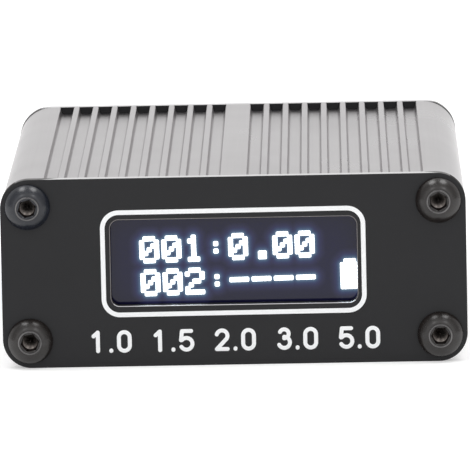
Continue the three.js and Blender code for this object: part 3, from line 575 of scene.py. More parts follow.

# Display
# Dark glass over a dot matrix, held behind the window by the foam tape and fitted about a degree askew.
# Every lit cell is four dots of the matrix, whose light runs together. The glass round the lit cells has a
# painted glow, an emission that stands in for their halo.
glass_width = 34.5 * mm
glass_height = 17.4 * mm
glass_edge_break = 0.15 * mm
glass_low, glass_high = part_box("display_glass")
glow_step = 0.2 * mm
painted_glow_colours = [
    (0.3, "#5a7488"), (0.5, "#42596e"), (0.62, "#2c415a"), (0.8, "#222c48"), (1.0, "#1c1e38"),
    (1.25, "#151628"), (1.45, "#0c0d18"), (1.7, "#000000"),
]
display_turn = math.radians(1.1)
dot_pitch = 0.231 * mm
cell_size = 2 * dot_pitch
cell_spread = 0.085 * mm
cell_corner_radius = 0.17 * mm
cell_corner_steps = 3
picture_left = -11.65 * mm
picture_top = 4.38 * mm
picture_thickness = 0.01 * mm
text_lines = ["001:0.00", "002:----"]
text_line_rows = 9
character_columns = 6
characters = {
    "0": (".###.", "#...#", "#..##", "#.#.#", "##..#", "#...#", ".###."),
    "1": ("..#..", ".##..", "..#..", "..#..", "..#..", "..#..", ".###."),
    "2": (".###.", "#...#", "....#", "..##.", ".#...", "#....", "#####"),
    ":": (".....", ".....", "..#..", ".....", "..#..", ".....", "....."),
    ".": (".....", ".....", ".....", ".....", ".....", "..##.", "..##."),
    "-": (".....", ".....", ".....", "#####", ".....", ".....", "....."),
}
charge_sign_column = 54
charge_sign_columns = 5
charge_sign_row = 9
charge_sign_rows = 7
askew = Matrix.Translation((0, 0, sleeve_height / 2)) @ Matrix.Rotation(-display_turn, 4, "Y")


def lit_cells():
    """Column and row of each lit cell, counted from the picture's top left corner."""
    cells = [
        (character_columns * i + column, text_line_rows * line + row)
        for line, text in enumerate(text_lines)
        for i, character in enumerate(text)
        for row, dots in enumerate(characters[character])
        for column, dot in enumerate(dots)
        if dot == "#"
    ]
    sign_columns = range(charge_sign_column, charge_sign_column + charge_sign_columns)
    sign_rows = range(charge_sign_row, charge_sign_row + charge_sign_rows)
    cells += [(column, row) for column in sign_columns for row in sign_rows]
    return cells + [(column, charge_sign_row - 1) for column in sign_columns[1:-1]]


def cell_middle(column, row):
    """Where a cell lies in the picture, before the display is turned askew."""
    return Vector((picture_left + (column + 0.5) * cell_size, 0, picture_top - (row + 0.5) * cell_size))


def glass_mesh():
    """The glass. Each point of its front keeps its distance to the nearest light, in mm, as an attribute."""
    lights = kdtree.KDTree(len(lit_cells()))
    for i, (column, row) in enumerate(lit_cells()):
        lights.insert(cell_middle(column, row), i)
    lights.balance()
    bm = bmesh.new()
    front_size = (glass_width - 2 * glass_edge_break, glass_height - 2 * glass_edge_break)
    columns, rows = [round(side / glow_step) for side in front_size]
    bmesh.ops.create_grid(
        bm, x_segments=columns, y_segments=rows, size=0.5,
        matrix=Matrix.Translation((0, glass_low.y, 0)) @ upright @ Matrix.Diagonal((*front_size, 1, 1)),
    )
    distance = bm.verts.layers.float.new("light_distance")
    for vert in bm.verts:
        vert[distance] = lights.find((vert.co.x, 0, vert.co.z))[2] / mm
    rim = [e for e in bm.edges if e.is_boundary]
    widen = (glass_width / front_size[0], 1, glass_height / front_size[1])
    to_rear = glass_high.y - glass_low.y - glass_edge_break
    for shift, scale in ((glass_edge_break, widen), (to_rear, (1, 1, 1))):
        drawn = bmesh.ops.extrude_edge_only(bm, edges=rim)["geom"]
        moved = [v for v in drawn if isinstance(v, bmesh.types.BMVert)]
        rim = [e for e in drawn if isinstance(e, bmesh.types.BMEdge)]
        bmesh.ops.scale(bm, verts=moved, vec=scale)
        bmesh.ops.translate(bm, verts=moved, vec=(0, shift, 0))
    bmesh.ops.contextual_create(bm, geom=rim)
    bmesh.ops.recalc_face_normals(bm, faces=bm.faces[:])
    bmesh.ops.transform(bm, verts=bm.verts[:], matrix=askew)
    return bm


def colour_along(tree, value, stops):
    """A colour that goes from stop to stop with the value. Each stop is a value and its linear colour."""
    first, last = stops[0][0], stops[-1][0]
    share = add_node(tree, "ShaderNodeMapRange", {"Value": value, "From Min": first, "From Max": last})
    blended = add_node(tree, "ShaderNodeValToRGB", {"Fac": share.outputs["Result"]})
    places = blended.color_ramp.elements
    while len(places) < len(stops):
        places.new(1.0)
    for place, (at, colour) in zip(places, stops):
        place.position = (at - first) / (last - first)
        place.color = colour
    return blended.outputs["Color"]


def dark_glass():
    """Polished glass over a black layer, slightly blue, with a painted glow: a dim blue-grey close to the
    lit dots.
    """
    haze_size = 6 * mm
    material, tree, shader, place = new_finish(
        "dark_display_glass", "#0f0f32", 0.06, Emission_Strength=1.0, Specular_IOR_Level=0.36,
    )
    distance = add_node(tree, "ShaderNodeAttribute", {}, attribute_name="light_distance").outputs["Fac"]
    stops = [(at, linear(colour)) for at, colour in painted_glow_colours]
    # painted glow: the glass emits a colour that fades with the distance to the nearest lit cell
    tree.links.new(colour_along(tree, distance, stops), shader.inputs["Emission Color"])
    place = add_node(tree, "ShaderNodeTexCoord", {}).outputs["Object"]
    haze = add_node(tree, "ShaderNodeTexNoise", {"Vector": place, "Scale": 1 / haze_size, "Detail": 2.0})
    show_pattern(tree, shader, haze.outputs["Fac"], roughness=(0.04, 0.1))
    return material


def picture_mesh():
    """A thin tile for each lit cell, a little larger than the cell, so that lit strokes run together."""
    side = cell_size + 2 * cell_spread
    bm = bmesh.new()
    for column, row in lit_cells():
        middle = cell_middle(column, row)
        rounded_rectangle(bm, side, side, cell_corner_radius, cell_corner_steps, x=middle.x, z=middle.z)
    draw_faces_out(bm, glass_low.y - picture_thickness, glass_low.y)
    bmesh.ops.transform(bm, verts=bm.verts[:], matrix=askew)
    return bm


def lit_dots():
    """Organic light-emitting dots, all on: a cold white that is a little dimmer between the dots."""
    material, tree, shader, place = new_finish("lit_display_dots", "#f4fbff", 0.4, Emission_Strength=1.3)
    place = add_node(tree, "ShaderNodeTexCoord", {}).outputs["Object"]
    matrix = add_node(tree, "ShaderNodeTexNoise", {"Vector": place, "Scale": 1 / dot_pitch})
    add_node(
        tree, "ShaderNodeMix",
        {"Factor": matrix.outputs["Fac"], "A": linear("#e4f4ff"), "B": linear("#ffffff")},
        [("Result", shader.inputs["Emission Color"])], data_type="RGBA",
    )
    return material


new_piece("glass", glass_mesh(), [dark_glass()], stands_for=["display_glass"])
new_piece("lit_picture", picture_mesh(), [lit_dots()])

# Front panel
# A plate of sheet aluminium with a fine matte black finish, cut by a router. Its upper and lower edges are
# left bare, and the edge of its window is rubbed grey. Painted shade: the bare edges turn dark towards the
# corners, further in at the back, and the sides and corners are a dull black. Painted light: the window's
# bevel below, which faces up, gets the bright bare finish.
front_corner_radius = 3.6 * mm
plate_corner_steps = 16
panel_edge_break = 0.1 * mm
edge_break_steps = 2
screw_hole_radius = 1.65 * mm
screw_hole_steps = 32
window_width = 30.7 * mm
window_height = 10.8 * mm
window_corner_radius = 1.06 * mm
window_corner_steps = 8
window_rise = 1.2 * mm
# Where the bare edges over and under the plate end in X; past these they are painted dark, as shade.
bare_from = -23.8 * mm
bare_to = 25.8 * mm
shade_slant = 1.4
panel_low, panel_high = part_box("front_panel")
panel_width = panel_high.x - panel_low.x
panel_height = panel_high.z - panel_low.z
window_level = panel_height / 2 + window_rise


def blank_plate(bm, corner_radius):
    """The outline of an end plate and of its four screw holes."""
    rounded_rectangle(bm, panel_width, panel_height, corner_radius, plate_corner_steps, z=panel_height / 2)
    for x, z in screw_axes():
        bmesh.ops.create_circle(
            bm, cap_ends=False, segments=screw_hole_steps, radius=screw_hole_radius,
            matrix=Matrix.Translation((x, 0, z)) @ upright,
        )


def break_edges(bm, y, width):
    """Rounds the edges that lie in the plane at y, but for the edges between its own flat faces."""
    rim = [
        e for e in bm.edges
        if all(abs(v.co.y - y) < weld_distance for v in e.verts) and e.calc_face_angle(0) > sharp_angle
    ]
    bmesh.ops.bevel(
        bm, geom=rim, offset=width, segments=edge_break_steps, profile=0.5, affect="EDGES", material=-1,
    )


def black_finish():
    """Black anodised sheet, bead blasted first: dark grey under soft light, with a grain that barely shows.

    The blasting is drawn coarser than the real one, so that it shows."""
    blast_grain = 0.1 * mm
    blast_depth = 0.01 * mm
    cloud_size = 9 * mm
    material, tree, shader, place = new_finish(
        "matte_black_anodised_aluminium", "#1e1e20", 0.55, Specular_IOR_Level=0.3,
    )
    place = add_node(tree, "ShaderNodeTexCoord", {}).outputs["Object"]
    grain = add_node(tree, "ShaderNodeTexNoise", {"Vector": place, "Scale": 1 / blast_grain, "Detail": 2.0})
    clouds = add_node(tree, "ShaderNodeTexNoise", {"Vector": place, "Scale": 1 / cloud_size, "Detail": 3.0})
    show_pattern(tree, shader, clouds.outputs["Fac"], colours=("#1b1b1d", "#202022"))
    show_pattern(tree, shader, grain.outputs["Fac"], roughness=(0.5, 0.62), spread=(0.3, 0.7))
    show_pattern(tree, shader, grain.outputs["Fac"], relief=(0.2, blast_depth))
    return material


def filed_edge(name, colour, start=-panel_width, end=panel_width, slant=0):
    """Aluminium bared by the router, with fine marks along the cut. Past two places in X it is painted dark,
    as shade.

    The painted shade reaches further in at the back of the plate, by slant times the plate's thickness, as
    the shadow in the gap between plate and sleeve."""
    mark_length = 0.8 * mm
    mark_width = 0.1 * mm
    shade_fade = 0.5 * mm
    material, tree, shader, place = new_finish(name, colour, 0.35, Metallic=1.0)
    stretched = add_node(
        tree, "ShaderNodeMapping",
        {"Vector": place, "Scale": (1 / mark_length, 1 / mark_width, 1 / mark_length)},
    )
    marks = add_node(tree, "ShaderNodeTexNoise", {"Vector": stretched.outputs[0], "Scale": 1.0})
    show_pattern(tree, shader, marks.outputs["Fac"], roughness=(0.28, 0.45))
    spot = add_node(tree, "ShaderNodeSeparateXYZ", {"Vector": place}).outputs
    shifted = add_node(tree, "ShaderNodeMath", {0: spot["X"], 1: (start + end) / 2}, operation="SUBTRACT")
    across = add_node(tree, "ShaderNodeMath", {0: shifted.outputs[0]}, operation="ABSOLUTE")
    reach = add_node(
        tree, "ShaderNodeMath", {0: spot["Y"], 1: slant, 2: across.outputs[0]}, operation="MULTIPLY_ADD",
    )
    limit = (end - start) / 2 + slant * panel_low.y
    # painted shade: the bare edge turns dark past the limit, which moves inward towards the back of the
    # plate
    painted_edge_shade = add_node(
        tree, "ShaderNodeMapRange",
        {"Value": reach.outputs[0], "From Min": limit - shade_fade, "From Max": limit + shade_fade},
        interpolation_type="SMOOTHSTEP",
    )
    show_pattern(tree, shader, painted_edge_shade.outputs["Result"], colours=(colour, "#2c2626"))
    return material


def shade_black_finish(name):
    """A dull, faintly brown and uneven black: painted shade, for edges and hollows that lie in shade."""
    stain_size = 0.6 * mm
    material, tree, shader, place = new_finish(name, "#171313", 0.85, Specular_IOR_Level=0.15)
    stains = add_node(tree, "ShaderNodeTexNoise", {"Vector": place, "Scale": 1 / stain_size, "Detail": 3.0})
    show_pattern(tree, shader, stains.outputs["Fac"], colours=("#100d0d", "#2a2321"))
    return material


def mark_edges(bm, corner_radius, has_window):
    """Which finish each face has: 0 is the sheet's own, and the others are cut edges.

    Round the plate, 1 is the edge over and under it, and 2 the sides and corners. Round the window's front,
    1 is the bevel under the picture, which faces up and gets the bright finish as painted light, and 3 the
    rest of it."""
    bevel_tilt = math.radians(9.5)
    half_width, half_height = panel_width / 2, panel_height / 2
    window_reach = window_width / 2 + panel_edge_break
    window_climb = window_height / 2 + panel_edge_break
    hole_reach = screw_hole_radius + weld_distance
    for face in bm.faces:
        middle = face.calc_center_median()
        outer = max(abs(middle.x) - half_width, abs(middle.z - half_height) - half_height) > -corner_radius
        level = abs(face.normal.y) < weld_distance
        within = abs(middle.x) < window_reach and abs(middle.z - window_level) < window_climb
        in_window = has_window and within
        in_hole = any(math.hypot(middle.x - x, middle.z - z) < hole_reach for x, z in screw_axes())
        if level and outer and not in_hole and not in_window:
            face.material_index = 1 if abs(middle.x) < half_width - corner_radius / 2 else 2
        elif in_window and not level and abs(face.normal.y) < math.cos(bevel_tilt):
            # painted light: the bevel under the picture faces up and gets the bright finish of the bare
            # edges
            face.material_index = 1 if face.normal.z > abs(face.normal.x) else 3


panel = bmesh.new()
blank_plate(panel, front_corner_radius)
rounded_rectangle(
    panel, window_width, window_height, window_corner_radius, window_corner_steps, z=window_level,
)
draw_out(panel, panel_low.y, panel_high.y)
break_edges(panel, panel_low.y, panel_edge_break)
mark_edges(panel, front_corner_radius, has_window=True)
black_anodised = black_finish()
front_finishes = [
    black_anodised,
    filed_edge("front_plate_filed_edge", "#d8d7d8", bare_from, bare_to, shade_slant),
    # painted shade: a dull black on the plate's sides and corners
    shade_black_finish("filed_edge_painted_shade"),
    filed_edge("window_rubbed_edge", "#7c7878"),
]
new_piece("front_plate", panel, front_finishes, stands_for=["front_panel"])

# White print
# Screen-printed white ink on the front plate: a line round the window, and a row of plain scale numbers
# under it. The ink stands a few hundredths of a millimetre proud and its edges are slightly soft.
ink_thickness = 0.05 * mm
ring_width = 32.47 * mm
ring_height = 12.87 * mm
ring_line = 0.57 * mm
ring_shift = -0.06 * mm
ring_rise = 1.16 * mm
ring_turn = math.radians(0.17)
ring_corner_radius = 2.0 * mm
ring_corner_steps = 12
number_height = 2.85 * mm
number_base = 1.75 * mm
number_width = 1.85 * mm
number_stroke = 0.5 * mm
number_advance = 2.3 * mm
point_advance = 1.0 * mm
number_spacing = 7.75 * mm
scale_numbers = ["1.0", "1.5", "2.0", "3.0", "5.0"]
arc_steps = 16
end_steps = 4
bowl_share = 0.3              # of the figures' height
upper_bowl_share = 0.8        # of the lower bowl, in the 3
flag_shares = (0.8, 0.7)      # of half the width, in the 1
bar_shares = (0.8, 0.9)       # of half the width, in the 5
neck_share = 1.7              # of the bowl's height, in the 5
full_bowl_share = 1.05        # of the bowl's height, in the 5


def white_ink():
    """Opaque white screen ink: a clean white with a slight sheen and a fine mesh texture from the screen."""
    screen_pitch = 0.12 * mm
    mesh_depth = 0.01 * mm
    material, tree, shader, place = new_finish("white_screen_ink", "#f9fafb", 0.5)
    place = add_node(tree, "ShaderNodeTexCoord", {}).outputs["Object"]
    grain = add_node(tree, "ShaderNodeTexNoise", {"Vector": place, "Scale": 1 / screen_pitch, "Detail": 2.0})
    show_pattern(
        tree, shader, grain.outputs["Fac"], colours=("#f5f7f8", "#fdfdfe"), relief=(0.15, mesh_depth),
    )
    return material


def arc(middle, radius, start, end):
    """Points on an arc, from one angle to another in degrees, counted anticlockwise from the right."""
    angles = [math.radians(start + (end - start) * i / arc_steps) for i in range(arc_steps + 1)]
    return [(middle[0] + radius * math.cos(a), middle[1] + radius * math.sin(a)) for a in angles]


def character_strokes(character):
    """The pen's path for a figure or a point, in X and Z, from its lower middle."""
    top = number_height - number_stroke
    bend = (number_width - number_stroke) / 2
    bowl = top * bowl_share
    upper_bowl = bowl * upper_bowl_share
    flag = (-bend * flag_shares[0], top - bend * flag_shares[1])
    bar_left, bar_right = -bend * bar_shares[0], bend * bar_shares[1]
    full_bowl = bowl * full_bowl_share
    return {
        "0": [arc((0, top - bend), bend, 0, 180) + arc((0, bend), bend, 180, 360) + [(bend, top - bend)]],
        "1": [[flag, (0, top)], [(0, top), (0, 0)]],
        "2": [arc((0, top - bend), bend, 165, -35) + [(-bend, 0)], [(-bend, 0), (bend, 0)]],
        "3": [arc((0, top - upper_bowl), upper_bowl, 155, -90), arc((0, bowl), bowl, 90, -155)],
        "5": [
            [(bar_right, top), (bar_left, top)],
            [(bar_left, top), (-bend, bowl * neck_share)],
            arc((0, full_bowl), full_bowl, 140, -150),
        ],
        ".": [[(0, 0), (0, number_stroke / 8)]],
    }[character]


def add_stroke(bm, points):
    """One stroke of the pen: a band of ink with round ends, a little thicker along its middle."""
    pen = number_stroke / 2
    first, last = [Vector(end) for end in (points[0], points[-1])]
    path = [(Vector(point), 1.0) for point in points]
    closed = (first - last).length < weld_distance
    if not closed:
        backwards = (first - Vector(points[1])).normalized()
        onwards = (last - Vector(points[-2])).normalized()
        round_end = [math.radians(90) * i / end_steps for i in range(1, end_steps + 1)]
        path = (
            [(first + backwards * pen * math.sin(a), math.cos(a)) for a in reversed(round_end)]
            + path
            + [(last + onwards * pen * math.sin(a), math.cos(a)) for a in round_end]
        )
    line = bpy.data.curves.new("stroke", "CURVE")
    line.dimensions = "3D"
    line.bevel_depth = pen
    line.bevel_resolution = 2
    line.use_fill_caps = not closed
    spline = line.splines.new("POLY")
    spline.points.add(len(path) - 1 - closed)
    spline.use_cyclic_u = closed
    for spot, (point, share) in zip(spline.points, path):
        spot.co = (point.x, 0, point.y, 1)
        spot.radius = max(share, weld_distance / pen)
    drawn = bpy.data.objects.new("stroke", line)
    bpy.context.scene.collection.objects.link(drawn)
    bpy.context.view_layer.update()
    bm.from_mesh(drawn.evaluated_get(bpy.context.evaluated_depsgraph_get()).to_mesh())
    bpy.data.objects.remove(drawn)


def number_mesh(text, middle):
    """A plain number, drawn with a round pen, pressed flat and put in its place on the plate."""
    advances = [point_advance if character == "." else number_advance for character in text]
    bm = bmesh.new()
    for i, character in enumerate(text):
        figure = bmesh.new()
        for points in character_strokes(character):
            add_stroke(figure, points)
        before = sum(advances[:i]) + advances[i] / 2 - sum(advances) / 2
        bmesh.ops.translate(figure, verts=figure.verts[:], vec=(before, 0, 0))
        written = bpy.data.meshes.new("figure")
        figure.to_mesh(written)
        figure.free()
        bm.from_mesh(written)
    bmesh.ops.remove_doubles(bm, verts=bm.verts[:], dist=weld_distance)
    bmesh.ops.scale(bm, verts=bm.verts[:], vec=(1, ink_thickness / number_stroke, 1))
    place = (middle, panel_low.y, number_base + number_stroke / 2)
    bmesh.ops.translate(bm, verts=bm.verts[:], vec=place)
    bmesh.ops.recalc_face_normals(bm, faces=bm.faces[:])
    return bm


white_print = white_ink()
ring = bmesh.new()
ring_middle = Vector((ring_shift, 0, panel_height / 2 + ring_rise))
for growth in (ring_line, -ring_line):
    rounded_rectangle(
        ring, ring_width + growth, ring_height + growth, ring_corner_radius + growth / 2, ring_corner_steps,
        x=ring_middle.x, z=ring_middle.z,
    )
draw_out(ring, panel_low.y - ink_thickness, panel_low.y)
bmesh.ops.rotate(ring, verts=ring.verts[:], cent=ring_middle, matrix=Matrix.Rotation(-ring_turn, 3, "Y"))
new_piece("window_line", ring, [white_print])
for i, text in enumerate(scale_numbers):
    middle = (i - (len(scale_numbers) - 1) / 2) * number_spacing
    name = "scale_number_" + text.replace(".", "_")
    new_piece(name, number_mesh(text, middle), [white_print])

# Screws
# Eight M3 button-head screws in blackened steel, four at each end, each stopped at its own angle. Their
# sockets were drilled, then punched to a hexagon. The walls and land of each socket are a dull black, as
# painted shade, the drill's cone shows oily at the bottom, and the fine bead round each socket is painted
# bright in blotches, as its highlight.
head_radius = 2.84 * mm
head_height = 1.65 * mm
head_rim = 0.3 * mm
head_rim_break = 0.08 * mm
crown_radius = 1.5 * mm
crown_bead = 0.1 * mm
countersink_depth = 0.14 * mm
hexagon_across_flats = 2.06 * mm
hexagon_depth = 1.15 * mm
drill_radius = 0.93 * mm
drill_slope = math.tan(math.radians(31))
drill_point_share = 1 / 16    # of the drill's radius, where its cone gets its first ring
broach_step = 0.04 * mm
shaded_wall_share = 1.1         # of half the hexagon's width: painted shade within, oily corners past it
shank_radius = 1.4 * mm
shank_length = 7 * mm
shank_tip_chamfer = 0.4 * mm
head_steps = 48
dome_steps = 8
bead_steps = 4
front_degrees = {"lower_left": 40, "lower_right": 30, "upper_left": -15, "upper_right": 0}
rear_degrees = {"lower_left": 5, "lower_right": 41, "upper_left": 12, "upper_right": 27}


def turned_solid(profile, steps):
    """Spins a profile of radii and heights round the Y axis into a closed solid."""
    bm = bmesh.new()
    verts = [bm.verts.new((radius, y, 0)) for radius, y in profile]
    edges = [bm.edges.new(ends) for ends in zip(verts, verts[1:])]
    bmesh.ops.spin(
        bm, geom=verts + edges, cent=(0, 0, 0), axis=(0, 1, 0), dvec=(0, 0, 0), angle=2 * math.pi,
        steps=steps, use_merge=True, use_duplicate=False,
    )
    bmesh.ops.remove_doubles(bm, verts=bm.verts[:], dist=weld_distance)
    bmesh.ops.recalc_face_normals(bm, faces=bm.faces[:])
    return bm


def hexagon_reach(vert):
    """How much further than its flats a hexagon with a corner straight down reaches at this vertex."""
    angle = math.degrees(math.atan2(vert.co.z, vert.co.x))
    return 1 / math.cos(math.radians((angle - 30) % 60 - 30))


def screw_mesh():
    """The dome is part of a ball whose centre lies on the axis. The screw's head points along Y."""
    drop = head_height - head_rim
    ball_middle = (head_height + head_rim) / 2 - (head_radius ** 2 - crown_radius ** 2) / (2 * drop)
    rim_angle = math.atan2(head_rim - ball_middle, head_radius)
    crown_angle = math.atan2(head_height - ball_middle, crown_radius)
    ball_radius = head_radius / math.cos(rim_angle)
    dome = [rim_angle + (crown_angle - rim_angle) * i / dome_steps for i in range(1, dome_steps + 1)]
    flat = hexagon_across_flats / 2
    floor = head_height - hexagon_depth
    cone_rim = floor - broach_step
    cone_depth = drill_radius * drill_slope
    profile = [
        (0, cone_rim - cone_depth),
        (drill_radius * drill_point_share, cone_rim - cone_depth * (1 - drill_point_share)),
        (drill_radius, cone_rim),
        (drill_radius, floor),
        (flat, floor),
        (flat, head_height - countersink_depth),
    ]
    bead = [math.pi * i / bead_steps for i in range(bead_steps + 1)]
    bead_middle, bead_level = crown_radius - crown_bead, head_height - crown_bead / 2
    profile += [
        (bead_middle - crown_bead * math.cos(a), bead_level + crown_bead * math.sin(a)) for a in bead
    ]
    profile += [
        (ball_radius * math.cos(a), ball_middle + ball_radius * math.sin(a)) for a in reversed(dome[:-1])
    ]
    profile += [
        (head_radius - head_rim_break / 4, head_rim + head_rim_break / 2),
        (head_radius, head_rim - head_rim_break / 2),
        (head_radius, head_rim_break / 2),
        (head_radius - head_rim_break / 2, 0),
        (shank_radius, 0),
        (shank_radius, shank_tip_chamfer - shank_length),
        (shank_radius - shank_tip_chamfer, -shank_length),
        (0, -shank_length),
    ]
    bm = turned_solid(profile, head_steps)
    for vert in bm.verts:
        if vert.co.y > 0 and abs(math.hypot(vert.co.x, vert.co.z) - flat) < weld_distance:
            reach = hexagon_reach(vert)
            vert.co = (vert.co.x * reach, vert.co.y, vert.co.z * reach)
    for face in bm.faces:
        middle = face.calc_center_median()
        radius = math.hypot(middle.x, middle.z)
        if radius < drill_radius and 0 < cone_rim - middle.y < drill_radius:
            face.material_index = 1
        # painted shade: a dull black on the socket's walls and land
        elif radius < flat * shaded_wall_share and cone_rim < middle.y < head_height - countersink_depth:
            face.material_index = 3
        # painted highlight: a bright metal on the bead round the socket
        elif middle.y > bead_level and radius > bead_middle - crown_bead:
            face.material_index = 2
    return bm


def black_oxide(name, colour, shade):
    """Steel with a black oxide finish: dark, oily and half glossy, with a faint tint and a fine grain."""
    grain_size = 0.18 * mm
    grain_relief = 0.02 * mm
    cloud_size = 1.5 * mm
    material, tree, shader, place = new_finish(name, colour, 0.26, Specular_IOR_Level=0.55)
    grain = add_node(tree, "ShaderNodeTexNoise", {"Vector": place, "Scale": 1 / grain_size, "Detail": 3.0})
    clouds = add_node(tree, "ShaderNodeTexNoise", {"Vector": place, "Scale": 1 / cloud_size, "Detail": 2.0})
    show_pattern(tree, shader, clouds.outputs["Fac"], colours=(shade, colour))
    show_pattern(tree, shader, grain.outputs["Fac"], roughness=(0.18, 0.32), relief=(0.25, grain_relief))
    return material


def plated(name, colour, shade, low_roughness, high_roughness):
    """Bright metal, plated or bare, with soft cloudy stains and a fine grain."""
    stain_size = 3 * mm
    grain_size = 0.15 * mm
    grain_relief = 0.01 * mm
    material, tree, shader, place = new_finish(name, colour, low_roughness, Metallic=1.0)
    stains = add_node(tree, "ShaderNodeTexNoise", {"Vector": place, "Scale": 1 / stain_size, "Detail": 4.0})
    grain = add_node(tree, "ShaderNodeTexNoise", {"Vector": place, "Scale": 1 / grain_size, "Detail": 2.0})
    show_pattern(
        tree, shader, stains.outputs["Fac"], colours=(shade, colour),
        roughness=(low_roughness, high_roughness),
    )
    show_pattern(tree, shader, grain.outputs["Fac"], relief=(0.15, grain_relief))
    return material


blue_black = black_oxide("blue_black_oxide_steel", "#171b26", "#0f1219")
brown_black = black_oxide("brown_black_oxide_steel", "#1c1613", "#130f0e")
socket_finishes = [
    plated("oiled_drilled_steel", "#726c69", "#48433f", 0.2, 0.3),
    # painted highlight: bright metal in blotches on the bead round each socket, as the light it catches
    plated("crown_bead_painted_highlight", "#908e8e", "#1f1f21", 0.2, 0.38),
    # painted shade for the socket's walls and land
    shade_black_finish("recess_painted_shade"),
]
rear_low, rear_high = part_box("rear_panel")
screw = screw_mesh()
for corner, (x, z) in zip(front_degrees, screw_axes()):
    oxide = blue_black if corner == "upper_left" else brown_black
    for end, seat, half_turn, turn in (
        ("front", panel_low.y, math.pi, -front_degrees[corner]),
        ("rear", rear_high.y, 0, rear_degrees[corner]),
    ):
        fitted = screw.copy()
        place = (
            Matrix.Translation((x, seat, z))
            @ Matrix.Rotation(math.radians(turn), 4, "Y")
            @ Matrix.Rotation(half_turn, 4, "Z")
        )
        bmesh.ops.transform(fitted, verts=fitted.verts[:], matrix=place)
        new_piece(
            f"{end}_button_screw_{corner}", fitted, [oxide, *socket_finishes],
            stands_for=[f"{end}_screw_{corner}"],
        )
screw.free()

# Rear plate
# The same sheet and finish as the front plate, but with its sides and corners rubbed grey. Two round holes
# take the coaxial sockets. Between them are the slot of the power switch and the opening of the charging
# socket.
socket_inset = 13.8 * mm
barrel_radius = 7.94 * mm
barrel_hole_clearance = 0.22 * mm
barrel_hole_steps = 64
charger_low, charger_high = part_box("charging_socket_shell")
charger_width = charger_high.x - charger_low.x
charger_height = charger_high.z - charger_low.z
charger_level = (charger_low.z + charger_high.z) / 2
charger_hole_clearance = 0.25 * mm
charger_hole_steps = 8
knob_low, knob_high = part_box("switch_knob")
knob_width = knob_high.x - knob_low.x
knob_height = knob_high.z - knob_low.z
knob_level = (knob_low.z + knob_high.z) / 2
knob_travel = 2 * mm
knob_clearance = 0.25 * mm
knob_slot_corner_radius = 0.25 * mm
knob_slot_corner_steps = 3
socket_level = sleeve_height / 2
socket_axis = sleeve_width / 2 - socket_inset
rear_corner_radius = 4.05 * mm
rear_bare_reach = 26 * mm
plate = bmesh.new()
blank_plate(plate, rear_corner_radius)
for x in (-socket_axis, socket_axis):
    bmesh.ops.create_circle(
        plate, cap_ends=False, segments=barrel_hole_steps, radius=barrel_radius + barrel_hole_clearance,
        matrix=Matrix.Translation((x, 0, socket_level)) @ upright,
    )
rounded_rectangle(
    plate, charger_width + 2 * charger_hole_clearance, charger_height + 2 * charger_hole_clearance,
    charger_height / 2, charger_hole_steps, z=charger_level,
)
rounded_rectangle(
    plate, knob_width + knob_travel + 2 * knob_clearance, knob_height + 2 * knob_clearance,
    knob_slot_corner_radius, knob_slot_corner_steps, z=knob_level,
)
draw_out(plate, rear_low.y, rear_high.y)
break_edges(plate, rear_high.y, panel_edge_break)
mark_edges(plate, rear_corner_radius, has_window=False)
rear_finishes = [
    black_anodised,
    # painted shade: past the given reach the bare edge turns dark, towards the corners
    filed_edge("rear_plate_filed_edge", "#d8d7d8", -rear_bare_reach, rear_bare_reach),
    filed_edge("rear_plate_rubbed_corner", "#6c6868"),
]
new_piece("rear_plate", plate, rear_finishes, stands_for=["rear_panel"])

# Coaxial sockets
# Two threaded brass shells, nickel plated. Each is held by a flange behind the plate, and by a lock washer
# and a nut in front of it. A white insulator carries the slotted centre contact.
flange_radius = 9.2 * mm
flange_thickness = 2.4 * mm
flange_flat = 8.5 * mm
boss_radius = 7 * mm
bore_radius = 5.9 * mm
rim_chamfer = 0.4 * mm
barrel_steps = 64
thread_pitch = 25.4 / 24 * mm
thread_depth = 0.42 * mm
thread_run_out = 0.6 * mm
rows_per_thread = 6
notch_width = 1.8 * mm
notch_depth = 1.1 * mm
nut_across_flats = 18 * mm
nut_land_inset = 0.2 * mm
nut_bore_radius = 8.14 * mm
nut_chamfer_slope = math.tan(math.radians(30))
nut_steps = 72
washer_radius = 9.5 * mm
washer_bore_radius = 8.24 * mm
washer_edge_break = 0.15 * mm
washer_steps = 64
insulator_radius = 5.65 * mm
hub_radius = 3.8 * mm
hub_height = 4 * mm
insulator_bore_radius = 3.05 * mm
insulator_edge_break = 0.2 * mm
insulator_steps = 48
contact_radius = 2.9 * mm
contact_bore_radius = 2.05 * mm
contact_bore_depth = 11 * mm
contact_lip = 0.25 * mm
contact_slit = 0.4 * mm
contact_steps = 40
pin_radius = 1.2 * mm
shell_low, shell_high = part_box("left_socket_shell")
insulator_low, insulator_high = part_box("left_socket_insulator")
contact_low, contact_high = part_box("left_socket_contact")
washer_low, washer_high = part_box("left_socket_washer")
nut_low, nut_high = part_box("left_socket_nut")


def add_cross(bm, width, reach, start, end):
    """Two blocks that cross at right angles on the axis of a socket."""
    add_block(bm, (-reach, start, -width / 2), (reach, end, width / 2))
    add_block(bm, (-width / 2, start, -reach), (width / 2, end, reach))


